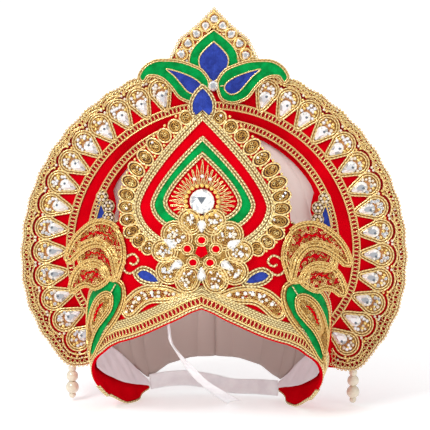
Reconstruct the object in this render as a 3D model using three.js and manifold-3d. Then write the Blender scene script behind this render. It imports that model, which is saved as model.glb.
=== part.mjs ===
// A stage crown (mukut) for a 57 cm head. A bent front wall of covered card rises into a spade
// over the forehead and runs back into two flaps that the crown stands on. A flat halo of card
// stands behind it, and satin closes the back. Millimetres, +Z up, the wearer looks along -Y.
import * as THREE from "three";
import { mergeVertices } from "three/addons/utils/BufferGeometryUtils.js";
import Module from "manifold-3d";

const wasm = await Module();
wasm.setup();

// Driving dimensions.
const card = 2; // bent card of the front wall, with its cloth
const board = 3.2; // stiff board of the halo, with its cloth
const satin = 1.2; // lining
const quilt = 2; // padded satin of the back
const seat = 0.4; // clearance between pieces that lie on each other
const trim = 1.6; // thickness of a sewn-on braid or patch
const lean = Math.tan(THREE.MathUtils.degToRad(5)); // everything leans back by this slope
const ring = { half: 91, front: 72, back: 58, y: 2.8 }; // plan of the head opening
const curl = { depth: 23, height: 50 }; // how far the wall curls in under the ears
const halo = { y: 27.8, z: 122, inner: 88.4 }; // the halo's plane and centre
const stonesPerSide = 14;
const stoneStart = 19.3; // degrees from the top to the first halo stone
const stoneStep = 8.15; // degrees between halo stones

const onWall = card / 2 + seat; // where trim on the front wall starts
const onTrim = onWall + trim + 1.5 * seat; // where trim that lies on other trim starts
const onHalo = board / 2 + seat; // where trim on the halo starts
const padThick = 2.2; // thickness of a halo stone's pad

// Colours of the pieces.
const finish = {
  red: new THREE.MeshStandardMaterial({ color: 0xd3081c, roughness: 0.75 }),
  gold: new THREE.MeshStandardMaterial({ color: 0xc99a45, roughness: 0.4, metalness: 0.9 }),
  satin: new THREE.MeshStandardMaterial({ color: 0xe9e4ea, roughness: 0.45 }),
  green: new THREE.MeshStandardMaterial({ color: 0x049448, roughness: 0.6 }),
  blue: new THREE.MeshStandardMaterial({ color: 0x26399b, roughness: 0.6 }),
  crystal: new THREE.MeshStandardMaterial({ color: 0xf2f4f8, roughness: 0.05 }),
  pearl: new THREE.MeshStandardMaterial({ color: 0xf4e9d2, roughness: 0.3 }),
};

// The front wall at plan angles from the forehead: its lower edge, its upper edge,
// the hem of the lining inside it, and the lining's upper edge.
const wallSections = [
  { turn: 0, low: 90, top: 249, hem: 93, lined: 112 },
  { turn: 2.5, low: 88.6, top: 245.5, hem: 91.5, lined: 112 },
  { turn: 5, low: 87, top: 237.5, hem: 90, lined: 112 },
  { turn: 6.2, low: 86, top: 231.5, hem: 89, lined: 112 },
  { turn: 10.8, low: 82, top: 228, hem: 85, lined: 112 },
  { turn: 15.6, low: 78.4, top: 221.5, hem: 81.5, lined: 112 },
  { turn: 20.3, low: 74.8, top: 215, hem: 78, lined: 112 },
  { turn: 25.4, low: 71, top: 207, hem: 74, lined: 112 },
  { turn: 30.4, low: 67.7, top: 198.5, hem: 70.7, lined: 112 },
  { turn: 35.2, low: 65, top: 189, hem: 68, lined: 112 },
  { turn: 38.9, low: 63.2, top: 179, hem: 66.2, lined: 112 },
  { turn: 41.5, low: 62, top: 166, hem: 65, lined: 112 },
  { turn: 43, low: 61, top: 150, hem: 64, lined: 112 },
  { turn: 48.8, low: 57, top: 145.5, hem: 60, lined: 112 },
  { turn: 54.4, low: 51.8, top: 139, hem: 54.8, lined: 110 },
  { turn: 59, low: 48.2, top: 128, hem: 51, lined: 106 },
  { turn: 63, low: 44.5, top: 114, hem: 47.5, lined: 101 },
  { turn: 67, low: 39.5, top: 102, hem: 43.5, lined: 96 },
  { turn: 71, low: 33, top: 96, hem: 40, lined: 91 },
  { turn: 76, low: 24.5, top: 91, hem: 36.5, lined: 86 },
  { turn: 81, low: 17.5, top: 85, hem: 33.5, lined: 80 },
  { turn: 86, low: 9.5, top: 76, hem: 31, lined: 71 },
  { turn: 91, low: 3, top: 67, hem: 28.5, lined: 62 },
  { turn: 96, low: 0, top: 59.5, hem: 26, lined: 55 },
  { turn: 101, low: 0, top: 53.5, hem: 23.5, lined: 50 },
  { turn: 106, low: 0, top: 49, hem: 21, lined: 46 },
  { turn: 111, low: 0, top: 46, hem: 18, lined: 43.5 },
  { turn: 116, low: 0, top: 44, hem: 15.5, lined: 41.5 },
  { turn: 122, low: 0, top: 38, hem: 13.5, lined: 35.5 },
  { turn: 128, low: 0, top: 31, hem: 12, lined: 28.5 },
  { turn: 134.5, low: 2.5, top: 22, hem: 11, lined: 19.5 },
  { turn: 141, low: 5.5, top: 14, hem: 9.5, lined: 12.5 },
];

// A table of the right half with its mirror image in front of it.
const mirrored = (sections, across = "turn") => [
  ...sections.slice(1).reverse().map((section) => ({ ...section, [across]: -section[across] })),
  ...sections,
];

// Spade outlines, nested: half width, height of the widest place, tip, bottom, and how far
// the shoulders bulge.
const spades = {
  petals: { half: 55.6, widest: 163, tip: 238.6, bottom: 128, bulge: 1.5 },
  borderOuter: { half: 49.2, widest: 162, tip: 231, bottom: 129, bulge: 1.4 },
  borderInner: { half: 45.2, widest: 162, tip: 223.6, bottom: 133, bulge: 1.4 },
  leafOuter: { half: 37.6, widest: 164, tip: 214.3, bottom: 141, bulge: 1.4 },
  leafInner: { half: 24.6, widest: 166, tip: 197.8, bottom: 153, bulge: 1.4 },
  field: { half: 24, widest: 166, tip: 197, bottom: 154, bulge: 1.4 },
};

// Rings of the halo: radius at the sides, how far their centre lies below the halo's, and
// how far their lower ends draw in, between these degrees from the top.
const drawnIn = { from: 103, to: 130 };
const rings = {
  edge: { radius: 145, drop: 8.5, tuck: 5.5 },
  lace: { radius: 147.4, drop: 8.5, tuck: 5.5 },
  laceInner: { radius: 139.8, drop: 4.7, tuck: 5.5 },
  stones: { radius: 122.6, drop: 4.5, tuck: 5.5 },
  chainOuter: { radius: 113.3, drop: 4, tuck: 5.5 },
  chainInner: { radius: 107, drop: 3, tuck: 5.5 },
  braidOuter: { radius: 97.4, drop: 0, tuck: 0 },
  braidInner: { radius: 91.4, drop: 0, tuck: 0 },
};

// --- Geometry helpers ---

const smooth = (value, from, to) => THREE.MathUtils.smoothstep(value, from, to);
const radians = THREE.MathUtils.degToRad;
const mix = THREE.MathUtils.lerp;

// Merges a geometry's vertices, drops the faces that came out flat, and turns it face out.
function closed(geometry) {
  geometry.deleteAttribute("normal");
  geometry.deleteAttribute("uv");
  const merged = mergeVertices(geometry, 1e-3);
  const at = merged.getAttribute("position");
  const corner = [new THREE.Vector3(), new THREE.Vector3(), new THREE.Vector3()];
  const faces = [];
  let volume = 0;
  for (let i = 0; i < merged.index.count; i += 3) {
    const face = [0, 1, 2].map((k) => merged.index.getX(i + k));
    if (face[0] === face[1] || face[1] === face[2] || face[2] === face[0]) continue;
    face.forEach((vertex, k) => corner[k].fromBufferAttribute(at, vertex));
    volume += corner[0].dot(corner[1].cross(corner[2]));
    faces.push(face);
  }
  merged.setIndex(faces.flatMap((face) => (volume < 0 ? [face[0], face[2], face[1]] : face)));
  return merged;
}

// Joins closed geometries that touch into one.
function joined(geometries) {
  const solids = geometries.map((geometry) => new wasm.Manifold(new wasm.Mesh({
    numProp: 3,
    vertProperties: geometry.getAttribute("position").array,
    triVerts: new Uint32Array(geometry.index.array),
  })));
  const mesh = solids.reduce((sum, solid) => sum.add(solid)).getMesh();
  const geometry = new THREE.BufferGeometry();
  geometry.setAttribute("position", new THREE.BufferAttribute(mesh.vertProperties, 3));
  geometry.setIndex(new THREE.BufferAttribute(mesh.triVerts, 1));
  return geometry;
}

// Moves every vertex of a geometry to place(x, y, z).
function moved(geometry, place) {
  const at = geometry.getAttribute("position");
  for (let i = 0; i < at.count; i += 1) {
    const point = place(at.getX(i), at.getY(i), at.getZ(i));
    at.setXYZ(i, point.x, point.y, point.z);
  }
  return closed(geometry);
}

// A sheet between two edges. low(s) and top(s) give [across, height] for s from 0 to 1,
// and place(across, height, out) puts it in space. With levels, its rows lie at those
// heights wherever they fall between the edges.
function sheet({ columns, rows = 1, levels, low, top, near, far, place }) {
  const rowCount = levels ? levels.length + 1 : rows;
  const box = new THREE.BoxGeometry(1, 1, 1, columns, rowCount, 1);
  return moved(box, (x, y, z) => {
    const from = low(x + 0.5);
    const to = top(x + 0.5);
    const share = y + 0.5;
    const across = mix(from[0], to[0], share);
    const level = levels?.[Math.round(share * rowCount) - 1];
    const inside = share < 1 && level !== undefined;
    const height = inside
      ? THREE.MathUtils.clamp(level, from[1], to[1])
      : mix(from[1], to[1], share);
    return place(across, height, z < 0 ? near : far);
  });
}

// The radius of an oval with half sizes wide and high, at an angle.
const oval = (wide, high) => (angle) => (
  (wide * high) / Math.hypot(high * Math.cos(angle), wide * Math.sin(angle))
);

// A flat disc whose edge is radius(angle), in place's two directions about a centre.
function disc({ centre, radius, segments, circles = 1, near, far, place }) {
  const shares = Array.from({ length: circles + 1 }, (_, i) => i / circles);
  const profile = [
    ...shares.map((share) => new THREE.Vector2(share, 0)),
    ...[...shares].reverse().map((share) => new THREE.Vector2(share, 1)),
  ];
  return moved(new THREE.LatheGeometry(profile, segments), (x, y, z) => {
    const angle = Math.atan2(z, x);
    const size = Math.hypot(x, z) * radius(angle);
    const across = centre[0] + size * Math.cos(angle);
    return place(across, centre[1] + size * Math.sin(angle), y < 0.5 ? near : far);
  });
}

// A prism with the outline of a shape, standing from near to far on a surface.
function patch(shape, near, far, place) {
  const prism = new THREE.ExtrudeGeometry(shape, { depth: 1, bevelEnabled: false, curveSegments: 3 });
  return moved(prism, (x, y, z) => place(x, y, z < 0.5 ? near : far));
}

// A smooth edge through [across, height] points, as a function of a share from 0 to 1.
function edgeThrough(points) {
  const curve = new THREE.SplineCurve(points.map(([x, y]) => new THREE.Vector2(x, y)));
  return (share) => curve.getPointAt(THREE.MathUtils.clamp(share, 0, 1)).toArray();
}

// The same solid on the left.
const mirrorCopy = (geometry) => moved(geometry.clone(), (x, y, z) => new THREE.Vector3(-x, y, z));

const shapeOf = (points) => new THREE.Shape(points.map(([x, y]) => new THREE.Vector2(x, y)));
const mirrorPoints = (points) => [...points].reverse().map(([x, y]) => [-x, y]);

// --- Surfaces ---

// Plan of the wall at an angle from the forehead: an egg that curls in near the floor.
function wallPlan(turn, height) {
  const angle = radians(turn);
  const depth = Math.abs(turn) < 90 ? ring.front : ring.back;
  const share = smooth(Math.abs(turn), 60, 86) * (1 - 0.65 * smooth(Math.abs(turn), 115, 141));
  const inward = curl.depth * share * Math.max(0, 1 - height / curl.height) ** 1.5;
  const x = ring.half * Math.sin(angle) - Math.sign(turn) * inward;
  return new THREE.Vector2(x, ring.y - depth * Math.cos(angle));
}

// A point of the front wall, out millimetres in front of the middle of its card.
function wallPoint(turn, height, out) {
  const step = 0.3;
  const along = wallPlan(turn + step, height).sub(wallPlan(turn - step, height)).normalize();
  const at = wallPlan(turn, height);
  return new THREE.Vector3(at.x + out * along.y, at.y - out * along.x + height * lean, height);
}

// The same for trim placed by its distance from the middle of the front.
const frontTurn = (x) => (
  THREE.MathUtils.radToDeg(Math.asin(THREE.MathUtils.clamp(x / ring.half, -1, 1)))
);
const frontPoint = (x, height, out) => wallPoint(frontTurn(x), height, out);

// The wings' surface leaves the wall and runs straight on from here.
const wingLeaves = 62;
function wingPoint(x, height, out) {
  if (x <= wingLeaves) return frontPoint(x, height, out);
  const from = wallPoint(frontTurn(wingLeaves), height, out);
  const next = wallPoint(frontTurn(wingLeaves) + 1, height, out);
  return from.clone().lerp(next, (x - wingLeaves) / (next.x - from.x)).setZ(height);
}

// A point of the halo's plane, out millimetres in front of the middle of its card.
const haloPoint = (x, height, out) => new THREE.Vector3(x, halo.y - out + height * lean, height);

// A point on one of the halo's rings, at degrees from the top.
function ringPoint({ radius, drop, tuck }, degrees) {
  const angle = radians(degrees);
  const inward = tuck * smooth(degrees, drawnIn.from, drawnIn.to);
  const reach = radius - drop * Math.cos(angle) - inward;
  return [reach * Math.sin(angle), halo.z + reach * Math.cos(angle)];
}

// A point of the back panel: side runs from -1 to 1 between the places where it meets the halo.
function panelPoint(side, height, out) {
  const sweep = radians(64);
  const curled = 14 * Math.max(0, 1 - height / curl.height) ** 1.5;
  const low = ring.half * Math.sin(sweep) - curled;
  const rise = Math.abs(height - halo.z);
  const high = Math.sqrt(Math.max(0, 95 ** 2 - rise ** 2));
  const half = mix(low, high, smooth(height, 45, 80));
  const bulge = 30.8 * (1 - smooth(height, 45, 205)) + 0.5;
  const x = (half * Math.sin(side * sweep)) / Math.sin(sweep);
  const back = (Math.cos(side * sweep) - Math.cos(sweep)) / (1 - Math.cos(sweep));
  const skin = board / 2 + seat + quilt / 2;
  return new THREE.Vector3(x, halo.y + skin + bulge * back - out + height * lean, height);
}

// --- The wall, its lining, the halo and the back ---

// A sheet with a column at each section of a table, between two of the table's heights.
function sectionSheet({ sections, across = "turn", low, top, ...rest }) {
  const last = sections.length - 1;
  const section = (share) => sections[Math.round(share * last)];
  return sheet({
    columns: last,
    low: (share) => [section(share)[across], section(share)[low]],
    top: (share) => [section(share)[across], section(share)[top]],
    ...rest,
  });
}

const curlLevels = [12, 24, 36, 50];

const frontPlate = () => sectionSheet({
  sections: mirrored(wallSections),
  low: "low",
  top: "top",
  levels: curlLevels,
  near: -card / 2,
  far: card / 2,
  place: wallPoint,
});

// The wall slopes where it curls in, so the lining keeps twice the clearance.
function lining() {
  const far = -card / 2 - 2 * seat;
  return sectionSheet({
    sections: mirrored(wallSections),
    low: "hem",
    top: "lined",
    levels: curlLevels,
    near: far - satin,
    far,
    place: wallPoint,
  });
}

// Half of the finial's outline on top of the halo, from its tip down to the ring.
const finial = [
  { x: 0, z: 302 },
  { x: 5.2, z: 297 },
  { x: 11.6, z: 290.4 },
  { x: 18.6, z: 284.6 },
  { x: 26, z: 279 },
  { x: 30.6, z: 268 },
];

// The halo's card: a ring with the finial on top, side lobes at the temples, and
// lower ends that stop just above the flaps.
const lowerEnd = [[115.2, 34.4], [110, 29.5], [100, 29.2], [86, 30], [84.5, 47]];

function haloBoard() {
  const outer = [];
  for (let degrees = 16; degrees <= 124; degrees += 6) outer.push(ringPoint(rings.edge, degrees));
  const inner = [];
  for (let degrees = 122; degrees >= 10; degrees -= 8) {
    const lobe = 11 * smooth(degrees, 54, 62) * (1 - smooth(degrees, 82, 92));
    inner.push(ringPoint({ radius: halo.inner - lobe, drop: 0, tuck: 0 }, degrees));
  }
  const half = [...finial.slice(1).map(({ x, z }) => [x, z]), ...outer, ...lowerEnd, ...inner];
  const innerTop = [0, halo.z + halo.inner];
  const outline = [[0, finial[0].z], ...half, innerTop, ...mirrorPoints(half)];
  return patch(shapeOf(outline), -board / 2, board / 2, haloPoint);
}

// The satin panel behind the halo. Its lower edge rides over the flaps at the sides and
// arches over the nape between them.
const panelHem = [
  { side: 0, low: 30.5 },
  { side: 0.2, low: 29.5 },
  { side: 0.4, low: 24.5 },
  { side: 0.52, low: 18.5 },
  { side: 0.61, low: 15.5 },
  { side: 0.72, low: 24 },
  { side: 0.86, low: 35 },
  { side: 1, low: 46 },
];

function backPanel() {
  const half = panelHem.map((row) => ({ ...row, top: halo.z + 92 }));
  return sectionSheet({
    sections: mirrored(half, "side"),
    across: "side",
    low: "low",
    top: "top",
    rows: 10,
    near: -quilt / 2,
    far: quilt / 2,
    place: panelPoint,
  });
}

// --- Trim of the halo ---

// The lace rim: small scallops along the ring, and nine round settings up the finial.
function haloEdging() {
  const outer = [];
  const inner = [];
  for (let i = 0; i <= 2 * (stonesPerSide - 1); i += 1) {
    const degrees = 15.2 + (i * stoneStep) / 2;
    const scallop = i % 2 ? 1 : -1;
    outer.push(ringPoint({ ...rings.lace, radius: rings.lace.radius + scallop }, degrees));
    if (i % 2 === 0) inner.push(ringPoint(rings.laceInner, degrees));
  }
  const slope = finial.slice(1, -1).map(({ x, z }) => [x + 0.8, z + 0.8]);
  const slopeInner = [[25.5, 262.5], [20.5, 274], [14, 282], [7, 288.5]];
  const lowEnd = [
    [122, 38.5], [116.5, 32.8], [110.5, 29.6], [103, 29.5],
    [103, 33.2], [110, 33.4], [114.5, 36.6], [117.5, 42.5],
  ];
  const half = [...slope, ...outer, ...lowEnd, ...inner.reverse(), ...slopeInner];
  const outline = [[0, finial[0].z + 1], ...half, [0, 294], ...mirrorPoints(half)];
  const rim = patch(shapeOf(outline), onHalo, onHalo + trim, haloPoint);
  const centres = [[0, 295], [7.2, 290.2], [14.2, 283.4], [20.6, 275.8], [25.4, 267.6]];
  const settings = [...centres, ...mirrorPoints(centres.slice(1))].map((centre) => disc({
    centre,
    radius: () => 3.9,
    segments: 6,
    near: onHalo,
    far: onHalo + 2 * trim,
    place: haloPoint,
  }));
  return joined([rim, ...settings]);
}

// A halo stone's place: degrees from the top, and the frame of its pad.
function stonePlace(number) {
  const degrees = stoneStart + (number - 1) * stoneStep;
  const [x, z] = ringPoint(rings.stones, degrees);
  const angle = radians(degrees);
  return (radial, side, out) => haloPoint(
    x + radial * Math.sin(angle) + side * Math.cos(angle),
    z + radial * Math.cos(angle) - side * Math.sin(angle),
    out,
  );
}

// A drop shape, point towards the halo's centre: [radial, sideways] points round it.
function teardrop(tip, round, radius, points) {
  const outline = [[tip, 0]];
  for (let i = 0; i <= points; i += 1) {
    const angle = radians(-125 + (250 * i) / points);
    outline.push([round + radius * Math.cos(angle), radius * Math.sin(angle)]);
  }
  return outline;
}

// The pads of the halo stones, joined by the outer chain braid that their tips reach.
function settingRow() {
  const outer = [];
  const inner = [];
  for (let degrees = 0; degrees <= 127; degrees += 9) {
    outer.push(ringPoint(rings.chainOuter, degrees));
    inner.unshift(ringPoint(rings.chainInner, degrees));
  }
  const half = [...outer.slice(1), ...inner.slice(0, -1)];
  const outline = [outer[0], ...half, inner.at(-1), ...mirrorPoints(half)];
  const band = patch(shapeOf(outline), onHalo, onHalo + trim, haloPoint);
  const pads = [];
  for (let number = 1; number <= stonesPerSide; number += 1) {
    const place = stonePlace(number);
    const pad = patch(shapeOf(teardrop(-10.5, 7, 8.7, 6)), onHalo, onHalo + padThick, place);
    pads.push(pad, mirrorCopy(pad));
  }
  return joined([band, ...pads]);
}

// A teardrop crystal on a pad: a low cut cone with a flat table.
function haloStone(number) {
  const place = stonePlace(number);
  const cone = new THREE.CylinderGeometry(2.2, 4.2, 2.6, 7);
  return moved(cone, (x, y, z) => {
    const radial = x < 0 ? x * 1.7 : x * 1.1;
    return place(radial + 0.6, z, onHalo + padThick + seat + y + 1.3);
  });
}

// The inner braid of the halo with the leaf and the bead flowers at each temple.
function innerBraid() {
  const outer = [];
  const inner = [];
  for (let degrees = 0; degrees <= 120; degrees += 10) {
    outer.push(ringPoint(rings.braidOuter, degrees));
    inner.unshift(ringPoint(rings.braidInner, degrees));
  }
  const half = [...outer.slice(1), ...inner.slice(0, -1)];
  const outline = [outer[0], ...half, inner.at(-1), ...mirrorPoints(half)];
  const band = patch(shapeOf(outline), onHalo, onHalo + trim, haloPoint);
  const leaf = patch(shapeOf([[91, 136], [88.5, 155], [82, 138]]), onHalo, onHalo + trim, haloPoint);
  const flowers = [[85.5, 158.5], [80.6, 151.5], [80.3, 142.5]].map((centre) => disc({
    centre,
    radius: () => 5.4,
    segments: 8,
    near: onHalo,
    far: onHalo + 1.5 * trim,
    place: haloPoint,
  }));
  const temple = [leaf, ...flowers];
  return joined([band, ...temple, ...temple.map(mirrorCopy)]);
}

// The lotus of the finial: an arch, the petal in it, and a leaf to each side.
const lotus = {
  archOuter: [[0, 286.2], [9.6, 279.6], [15.6, 273.8], [19.2, 267], [19.8, 261.4]],
  archInner: [[12.6, 262.6], [11.2, 268.4], [6.3, 274], [0, 278.6]],
  petal: [[0, 276.4], [6.8, 271], [11.2, 264.4], [8, 257], [0, 249]],
  leaf: [
    [3.6, 247.4], [8.5, 255], [16.2, 259.2], [26.1, 262.3], [36, 263.2], [45.2, 262.5], [52.9, 258],
    [57.4, 250.8], [54.5, 246], [49.9, 251], [43.8, 251.2], [37.7, 248.2], [31.6, 242], [27.1, 236],
    [22.5, 232.8], [14.8, 230.6], [7.4, 232.8], [5, 238],
  ],
};

// The leaves lie over the lace and the first pads.
const lotusPiece = (points, near) => patch(shapeOf(points), near, near + trim, haloPoint);

function lotusArch() {
  const half = [...lotus.archOuter.slice(1), ...lotus.archInner.slice(0, -1)];
  const outline = [lotus.archOuter[0], ...half, lotus.archInner.at(-1), ...mirrorPoints(half)];
  return lotusPiece(outline, onHalo);
}

const lotusPetal = () => lotusPiece([...lotus.petal, ...mirrorPoints(lotus.petal.slice(1, -1))], onHalo);
const lotusLeaf = () => lotusPiece(lotus.leaf, onHalo + padThick + seat);

// --- Trim of the front ---

// A spade's edge: t runs from -1 at the bottom over 0 at the tip to 1 at the bottom again.
function spadeEdge({ half, widest, tip, bottom, bulge }, t) {
  const side = Math.sign(t);
  const share = Math.abs(t);
  if (share < 0.55) {
    const rise = 1 - share / 0.55;
    return [side * half * (1 - rise ** bulge), widest + (tip - widest) * rise];
  }
  const angle = ((share - 0.55) / 0.45) * (Math.PI / 2);
  return [side * half * Math.cos(angle), widest - (widest - bottom) * Math.sin(angle)];
}

function spadeStrip(outer, inner, openFrom, columns, far) {
  return sheet({
    columns,
    low: (share) => spadeEdge(outer, (2 * share - 1) * openFrom),
    top: (share) => spadeEdge(inner, (2 * share - 1) * openFrom),
    near: onWall,
    far,
    place: frontPoint,
  });
}

// The petals on each side of the spade: the stretch of its edge that they fill, and half sizes.
const petalRow = { count: 13, from: 0.06, to: 0.86, long: 8.4, wide: 4.6 };

// The gold border of the spade with the row of coiled petals round it.
function spadeBorder() {
  const { count, from, to, long, wide } = petalRow;
  const strip = spadeStrip(spades.borderOuter, spades.borderInner, to, 22, onWall + trim);
  const stops = Array.from({ length: 25 }, (_, i) => mix(from, to, i / 24));
  const row = edgeThrough(stops.map((t) => spadeEdge(spades.petals, t)));
  const petals = [];
  for (let i = 0; i < count; i += 1) {
    const [x, z] = row((i + 0.5) / count);
    const [nextX, nextZ] = row((i + 0.6) / count);
    const along = Math.atan2(nextZ - z, nextX - x);
    const petal = disc({
      centre: [0, 0],
      radius: oval(wide, long),
      segments: 6,
      near: onWall,
      far: onWall + trim,
      place: (u, v, out) => frontPoint(
        x + u * Math.cos(along) - v * Math.sin(along),
        z + u * Math.sin(along) + v * Math.cos(along),
        out,
      ),
    });
    petals.push(petal, mirrorCopy(petal));
  }
  return joined([strip, ...petals]);
}

const spadeLeaf = () => spadeStrip(spades.leafOuter, spades.leafInner, 0.9, 26, onWall + trim);

// The field inside the spade, with the raised seat of the round stone.
function sunburst() {
  const { half, widest, tip, bottom, bulge } = spades.field;
  const field = sheet({
    columns: 8,
    low: (share) => {
      const side = 2 * share - 1;
      return [half * side, widest - (widest - bottom) * Math.sqrt(Math.max(0, 1 - side ** 2))];
    },
    top: (share) => {
      const side = 2 * share - 1;
      return [half * side, widest + (tip - widest) * (1 - Math.abs(side)) ** (1 / bulge)];
    },
    near: onWall,
    far: onWall + 0.6 * trim,
    place: frontPoint,
  });
  const seatDisc = disc({
    centre: roundStone.centre,
    radius: () => 12,
    segments: 12,
    circles: 2,
    near: onWall + 0.4 * trim,
    far: onWall + trim,
    place: frontPoint,
  });
  return joined([field, seatDisc]);
}

const roundStone = { centre: [0, 166.6], radius: 9, height: 4.4 };

function roundCrystal() {
  const { centre, radius, height } = roundStone;
  const cut = new THREE.CylinderGeometry(radius * 0.5, radius, height, 10);
  return moved(cut, (x, y, z) => {
    const flat = frontPoint(0, centre[1] + z, onWall + trim + 1.5 * seat + y + height / 2);
    return new THREE.Vector3(centre[0] + x, flat.y, flat.z);
  });
}

// The flower on the brow: ten lobes, four crystals at its sides and two above and below.
function flower() {
  const lobes = 10;
  const reach = oval(34.5, 28);
  const base = disc({
    centre: [0, 130.8],
    radius: (angle) => reach(angle) * (0.95 - 0.06 * Math.cos(lobes * (angle - Math.PI / 2))),
    segments: 30,
    circles: 2,
    near: onTrim,
    far: onTrim + trim,
    place: frontPoint,
  });
  const crystals = [
    [0, 150.3], [21.2, 136.1], [-21.2, 136.1], [16.8, 121.6], [-16.8, 121.6], [0, 113.9],
  ];
  const rounds = [[0, 139.3], [9.9, 133], [-9.9, 133], [5.9, 123.3], [-5.9, 123.3]];
  const raised = (list, radius, far) => list.map((place) => disc({
    centre: place,
    radius: () => radius,
    segments: 6,
    near: onTrim + 0.5 * trim,
    far,
    place: frontPoint,
  }));
  const high = raised(crystals, 4, onTrim + 2.6 * trim);
  return joined([base, ...high, ...raised(rounds, 3.4, onTrim + 1.8 * trim)]);
}

// The blue leaf that stands on the spade's tip.
function tipLeaf() {
  const right = [[0, 249.5], [6.8, 242], [9, 234.5], [6.6, 228.5], [0, 231.5]];
  return sheet({
    columns: 6,
    rows: 2,
    low: edgeThrough(right.map(([x, z]) => [-x, z])),
    top: edgeThrough(right),
    near: onTrim,
    far: onTrim + trim,
    place: frontPoint,
  });
}

// The braid along the wall's lower edge, over the brow from ear to ear.
function bandBraid() {
  const width = (turn) => 11.4 - 4 * smooth(turn, 50, 71);
  const half = wallSections.filter(({ turn }) => turn <= 71)
    .map(({ turn, low }) => ({ turn, low: low + 1, top: low + 1 + width(turn) }));
  return sectionSheet({
    sections: mirrored(half),
    low: "low",
    top: "top",
    near: onWall,
    far: onWall + trim,
    place: wallPoint,
  });
}

// The crescent over the brow on the right, by plan angle and height; the left side mirrors it.
function bandCrescent() {
  return sheet({
    columns: 10,
    low: edgeThrough([
      [6.8, 98.8], [13.6, 95], [22.2, 93.2], [29.2, 87], [33.5, 81], [37, 80], [39.6, 83],
    ]),
    top: edgeThrough([
      [6.8, 98.8], [14.7, 105], [22, 106], [31.6, 101.5], [37.6, 94], [40, 88], [39.6, 83],
    ]),
    near: onWall,
    far: onWall + trim,
    place: wallPoint,
  });
}

// A blue leaf beside the flower, with the gold cord that scrolls up from it.
function blueLeaf() {
  const leaf = sheet({
    columns: 6,
    low: edgeThrough([[28.8, 107.4], [39, 106.2], [45.5, 108], [49, 113]]),
    top: edgeThrough([[28.8, 107.4], [33, 114.5], [41.5, 117.8], [49, 113]]),
    near: onWall,
    far: onWall + trim,
    place: frontPoint,
  });
  const route = [[48, 113.4], [52.5, 112.4], [56.8, 115], [57.4, 120], [53.8, 125.4], [49, 127],
    [46, 123.6], [47.5, 120], [51.5, 120]];
  const scroll = new THREE.CatmullRomCurve3(route.map(([x, z]) => frontPoint(x, z, onWall + 1.2)));
  const square = shapeOf([[-1, -0.9], [1, -0.9], [1, 0.9], [-1, 0.9]]);
  const cord = new THREE.ExtrudeGeometry(square, { extrudePath: scroll, steps: 18, bevelEnabled: false });
  return joined([leaf, closed(cord)]);
}

// A wing: three nested crescents whose tips stand clear of the wall.
function wing() {
  const outline = [
    [63.4, 110], [59.2, 122], [59.6, 132], [63.2, 140.8], [69, 145.6], [76.4, 146.8], [84, 144.4],
    [90.6, 139.6], [96.7, 133.2], [101.5, 125.5], [104.2, 116.6], [97.6, 123], [92.6, 126.6],
    [93.4, 120.8], [91, 115], [96.6, 107.6], [99.4, 101], [100.6, 94.8], [95.8, 99], [90.4, 101.4],
    [84.6, 102], [81, 104.6], [73.5, 110.4], [66, 110.8],
  ];
  return patch(shapeOf(outline), onWall, onWall + 1.3 * trim, wingPoint);
}

// A paisley at the temple: its round head by the wing, its tail down at the ear.
function paisley() {
  return sheet({
    columns: 12,
    rows: 4,
    low: edgeThrough([[72, 45], [65, 50], [59, 56], [52.4, 64.4], [45.6, 74], [41, 83.4], [38.6, 91.2],
      [38.2, 99.2], [40.2, 105.4], [44.2, 108.8], [47.6, 109.8]]),
    top: edgeThrough([[72, 45], [77, 57], [77.4, 69.4], [74.6, 80.8], [69.8, 91.2], [61, 101.8],
      [53, 108], [47.6, 109.8]]),
    near: onTrim,
    far: onTrim + trim,
    place: wallPoint,
  });
}

// --- Drops and ribbons ---

const dropX = 108.5;
const dropBeads = [
  { radius: 3.2, z: 25.7 },
  { radius: 4.6, z: 19.6 },
  { radius: 5.1, z: 10.8 },
  { radius: 2.7, z: 4.8 },
];

// Two pearls between a gold cap and a small bead, hanging from the halo's lower end.
function drop() {
  const y = halo.y + 28 * lean;
  return joined(dropBeads.map(({ radius, z }) => {
    const bead = new THREE.SphereGeometry(radius, 7, 5);
    return moved(bead, (bx, by, bz) => new THREE.Vector3(dropX + bx, y + bz, z + by));
  }));
}

// A flat ribbon along a route. A turn of 0 shows its width from the front, and 90 its edge.
function ribbon(route, width, thick) {
  const curve = new THREE.CatmullRomCurve3(route.map(({ at }) => new THREE.Vector3(...at)));
  const box = new THREE.BoxGeometry(1, 1, 1, 16, 1, 1);
  return moved(box, (x, y, z) => {
    const share = x + 0.5;
    const run = curve.getTangent(share);
    const steps = share * (route.length - 1);
    const here = Math.min(Math.floor(steps), route.length - 2);
    const turn = radians(mix(route[here].turn, route[here + 1].turn, steps - here));
    const level = new THREE.Vector3(run.z, 0, -run.x).normalize();
    const across = level.applyAxisAngle(run, turn);
    const face = new THREE.Vector3().crossVectors(run, across);
    return curve.getPoint(share).addScaledVector(across, y * width).addScaledVector(face, z * thick);
  });
}

// The strap behind the nape, from flap to flap, standing on its edge and sagging to the floor.
const backStrapRoute = [
  { at: [-49.9, 48.2, 12], turn: 0 },
  { at: [-38, 55, 13], turn: -3 },
  { at: [-22, 60, 13], turn: -12 },
  { at: [-4, 62, 10.5], turn: -20 },
  { at: [14, 61, 7], turn: -26 },
  { at: [34, 57, 7.6], turn: -22 },
  { at: [49.9, 48.2, 8.6], turn: -6 },
];

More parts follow.
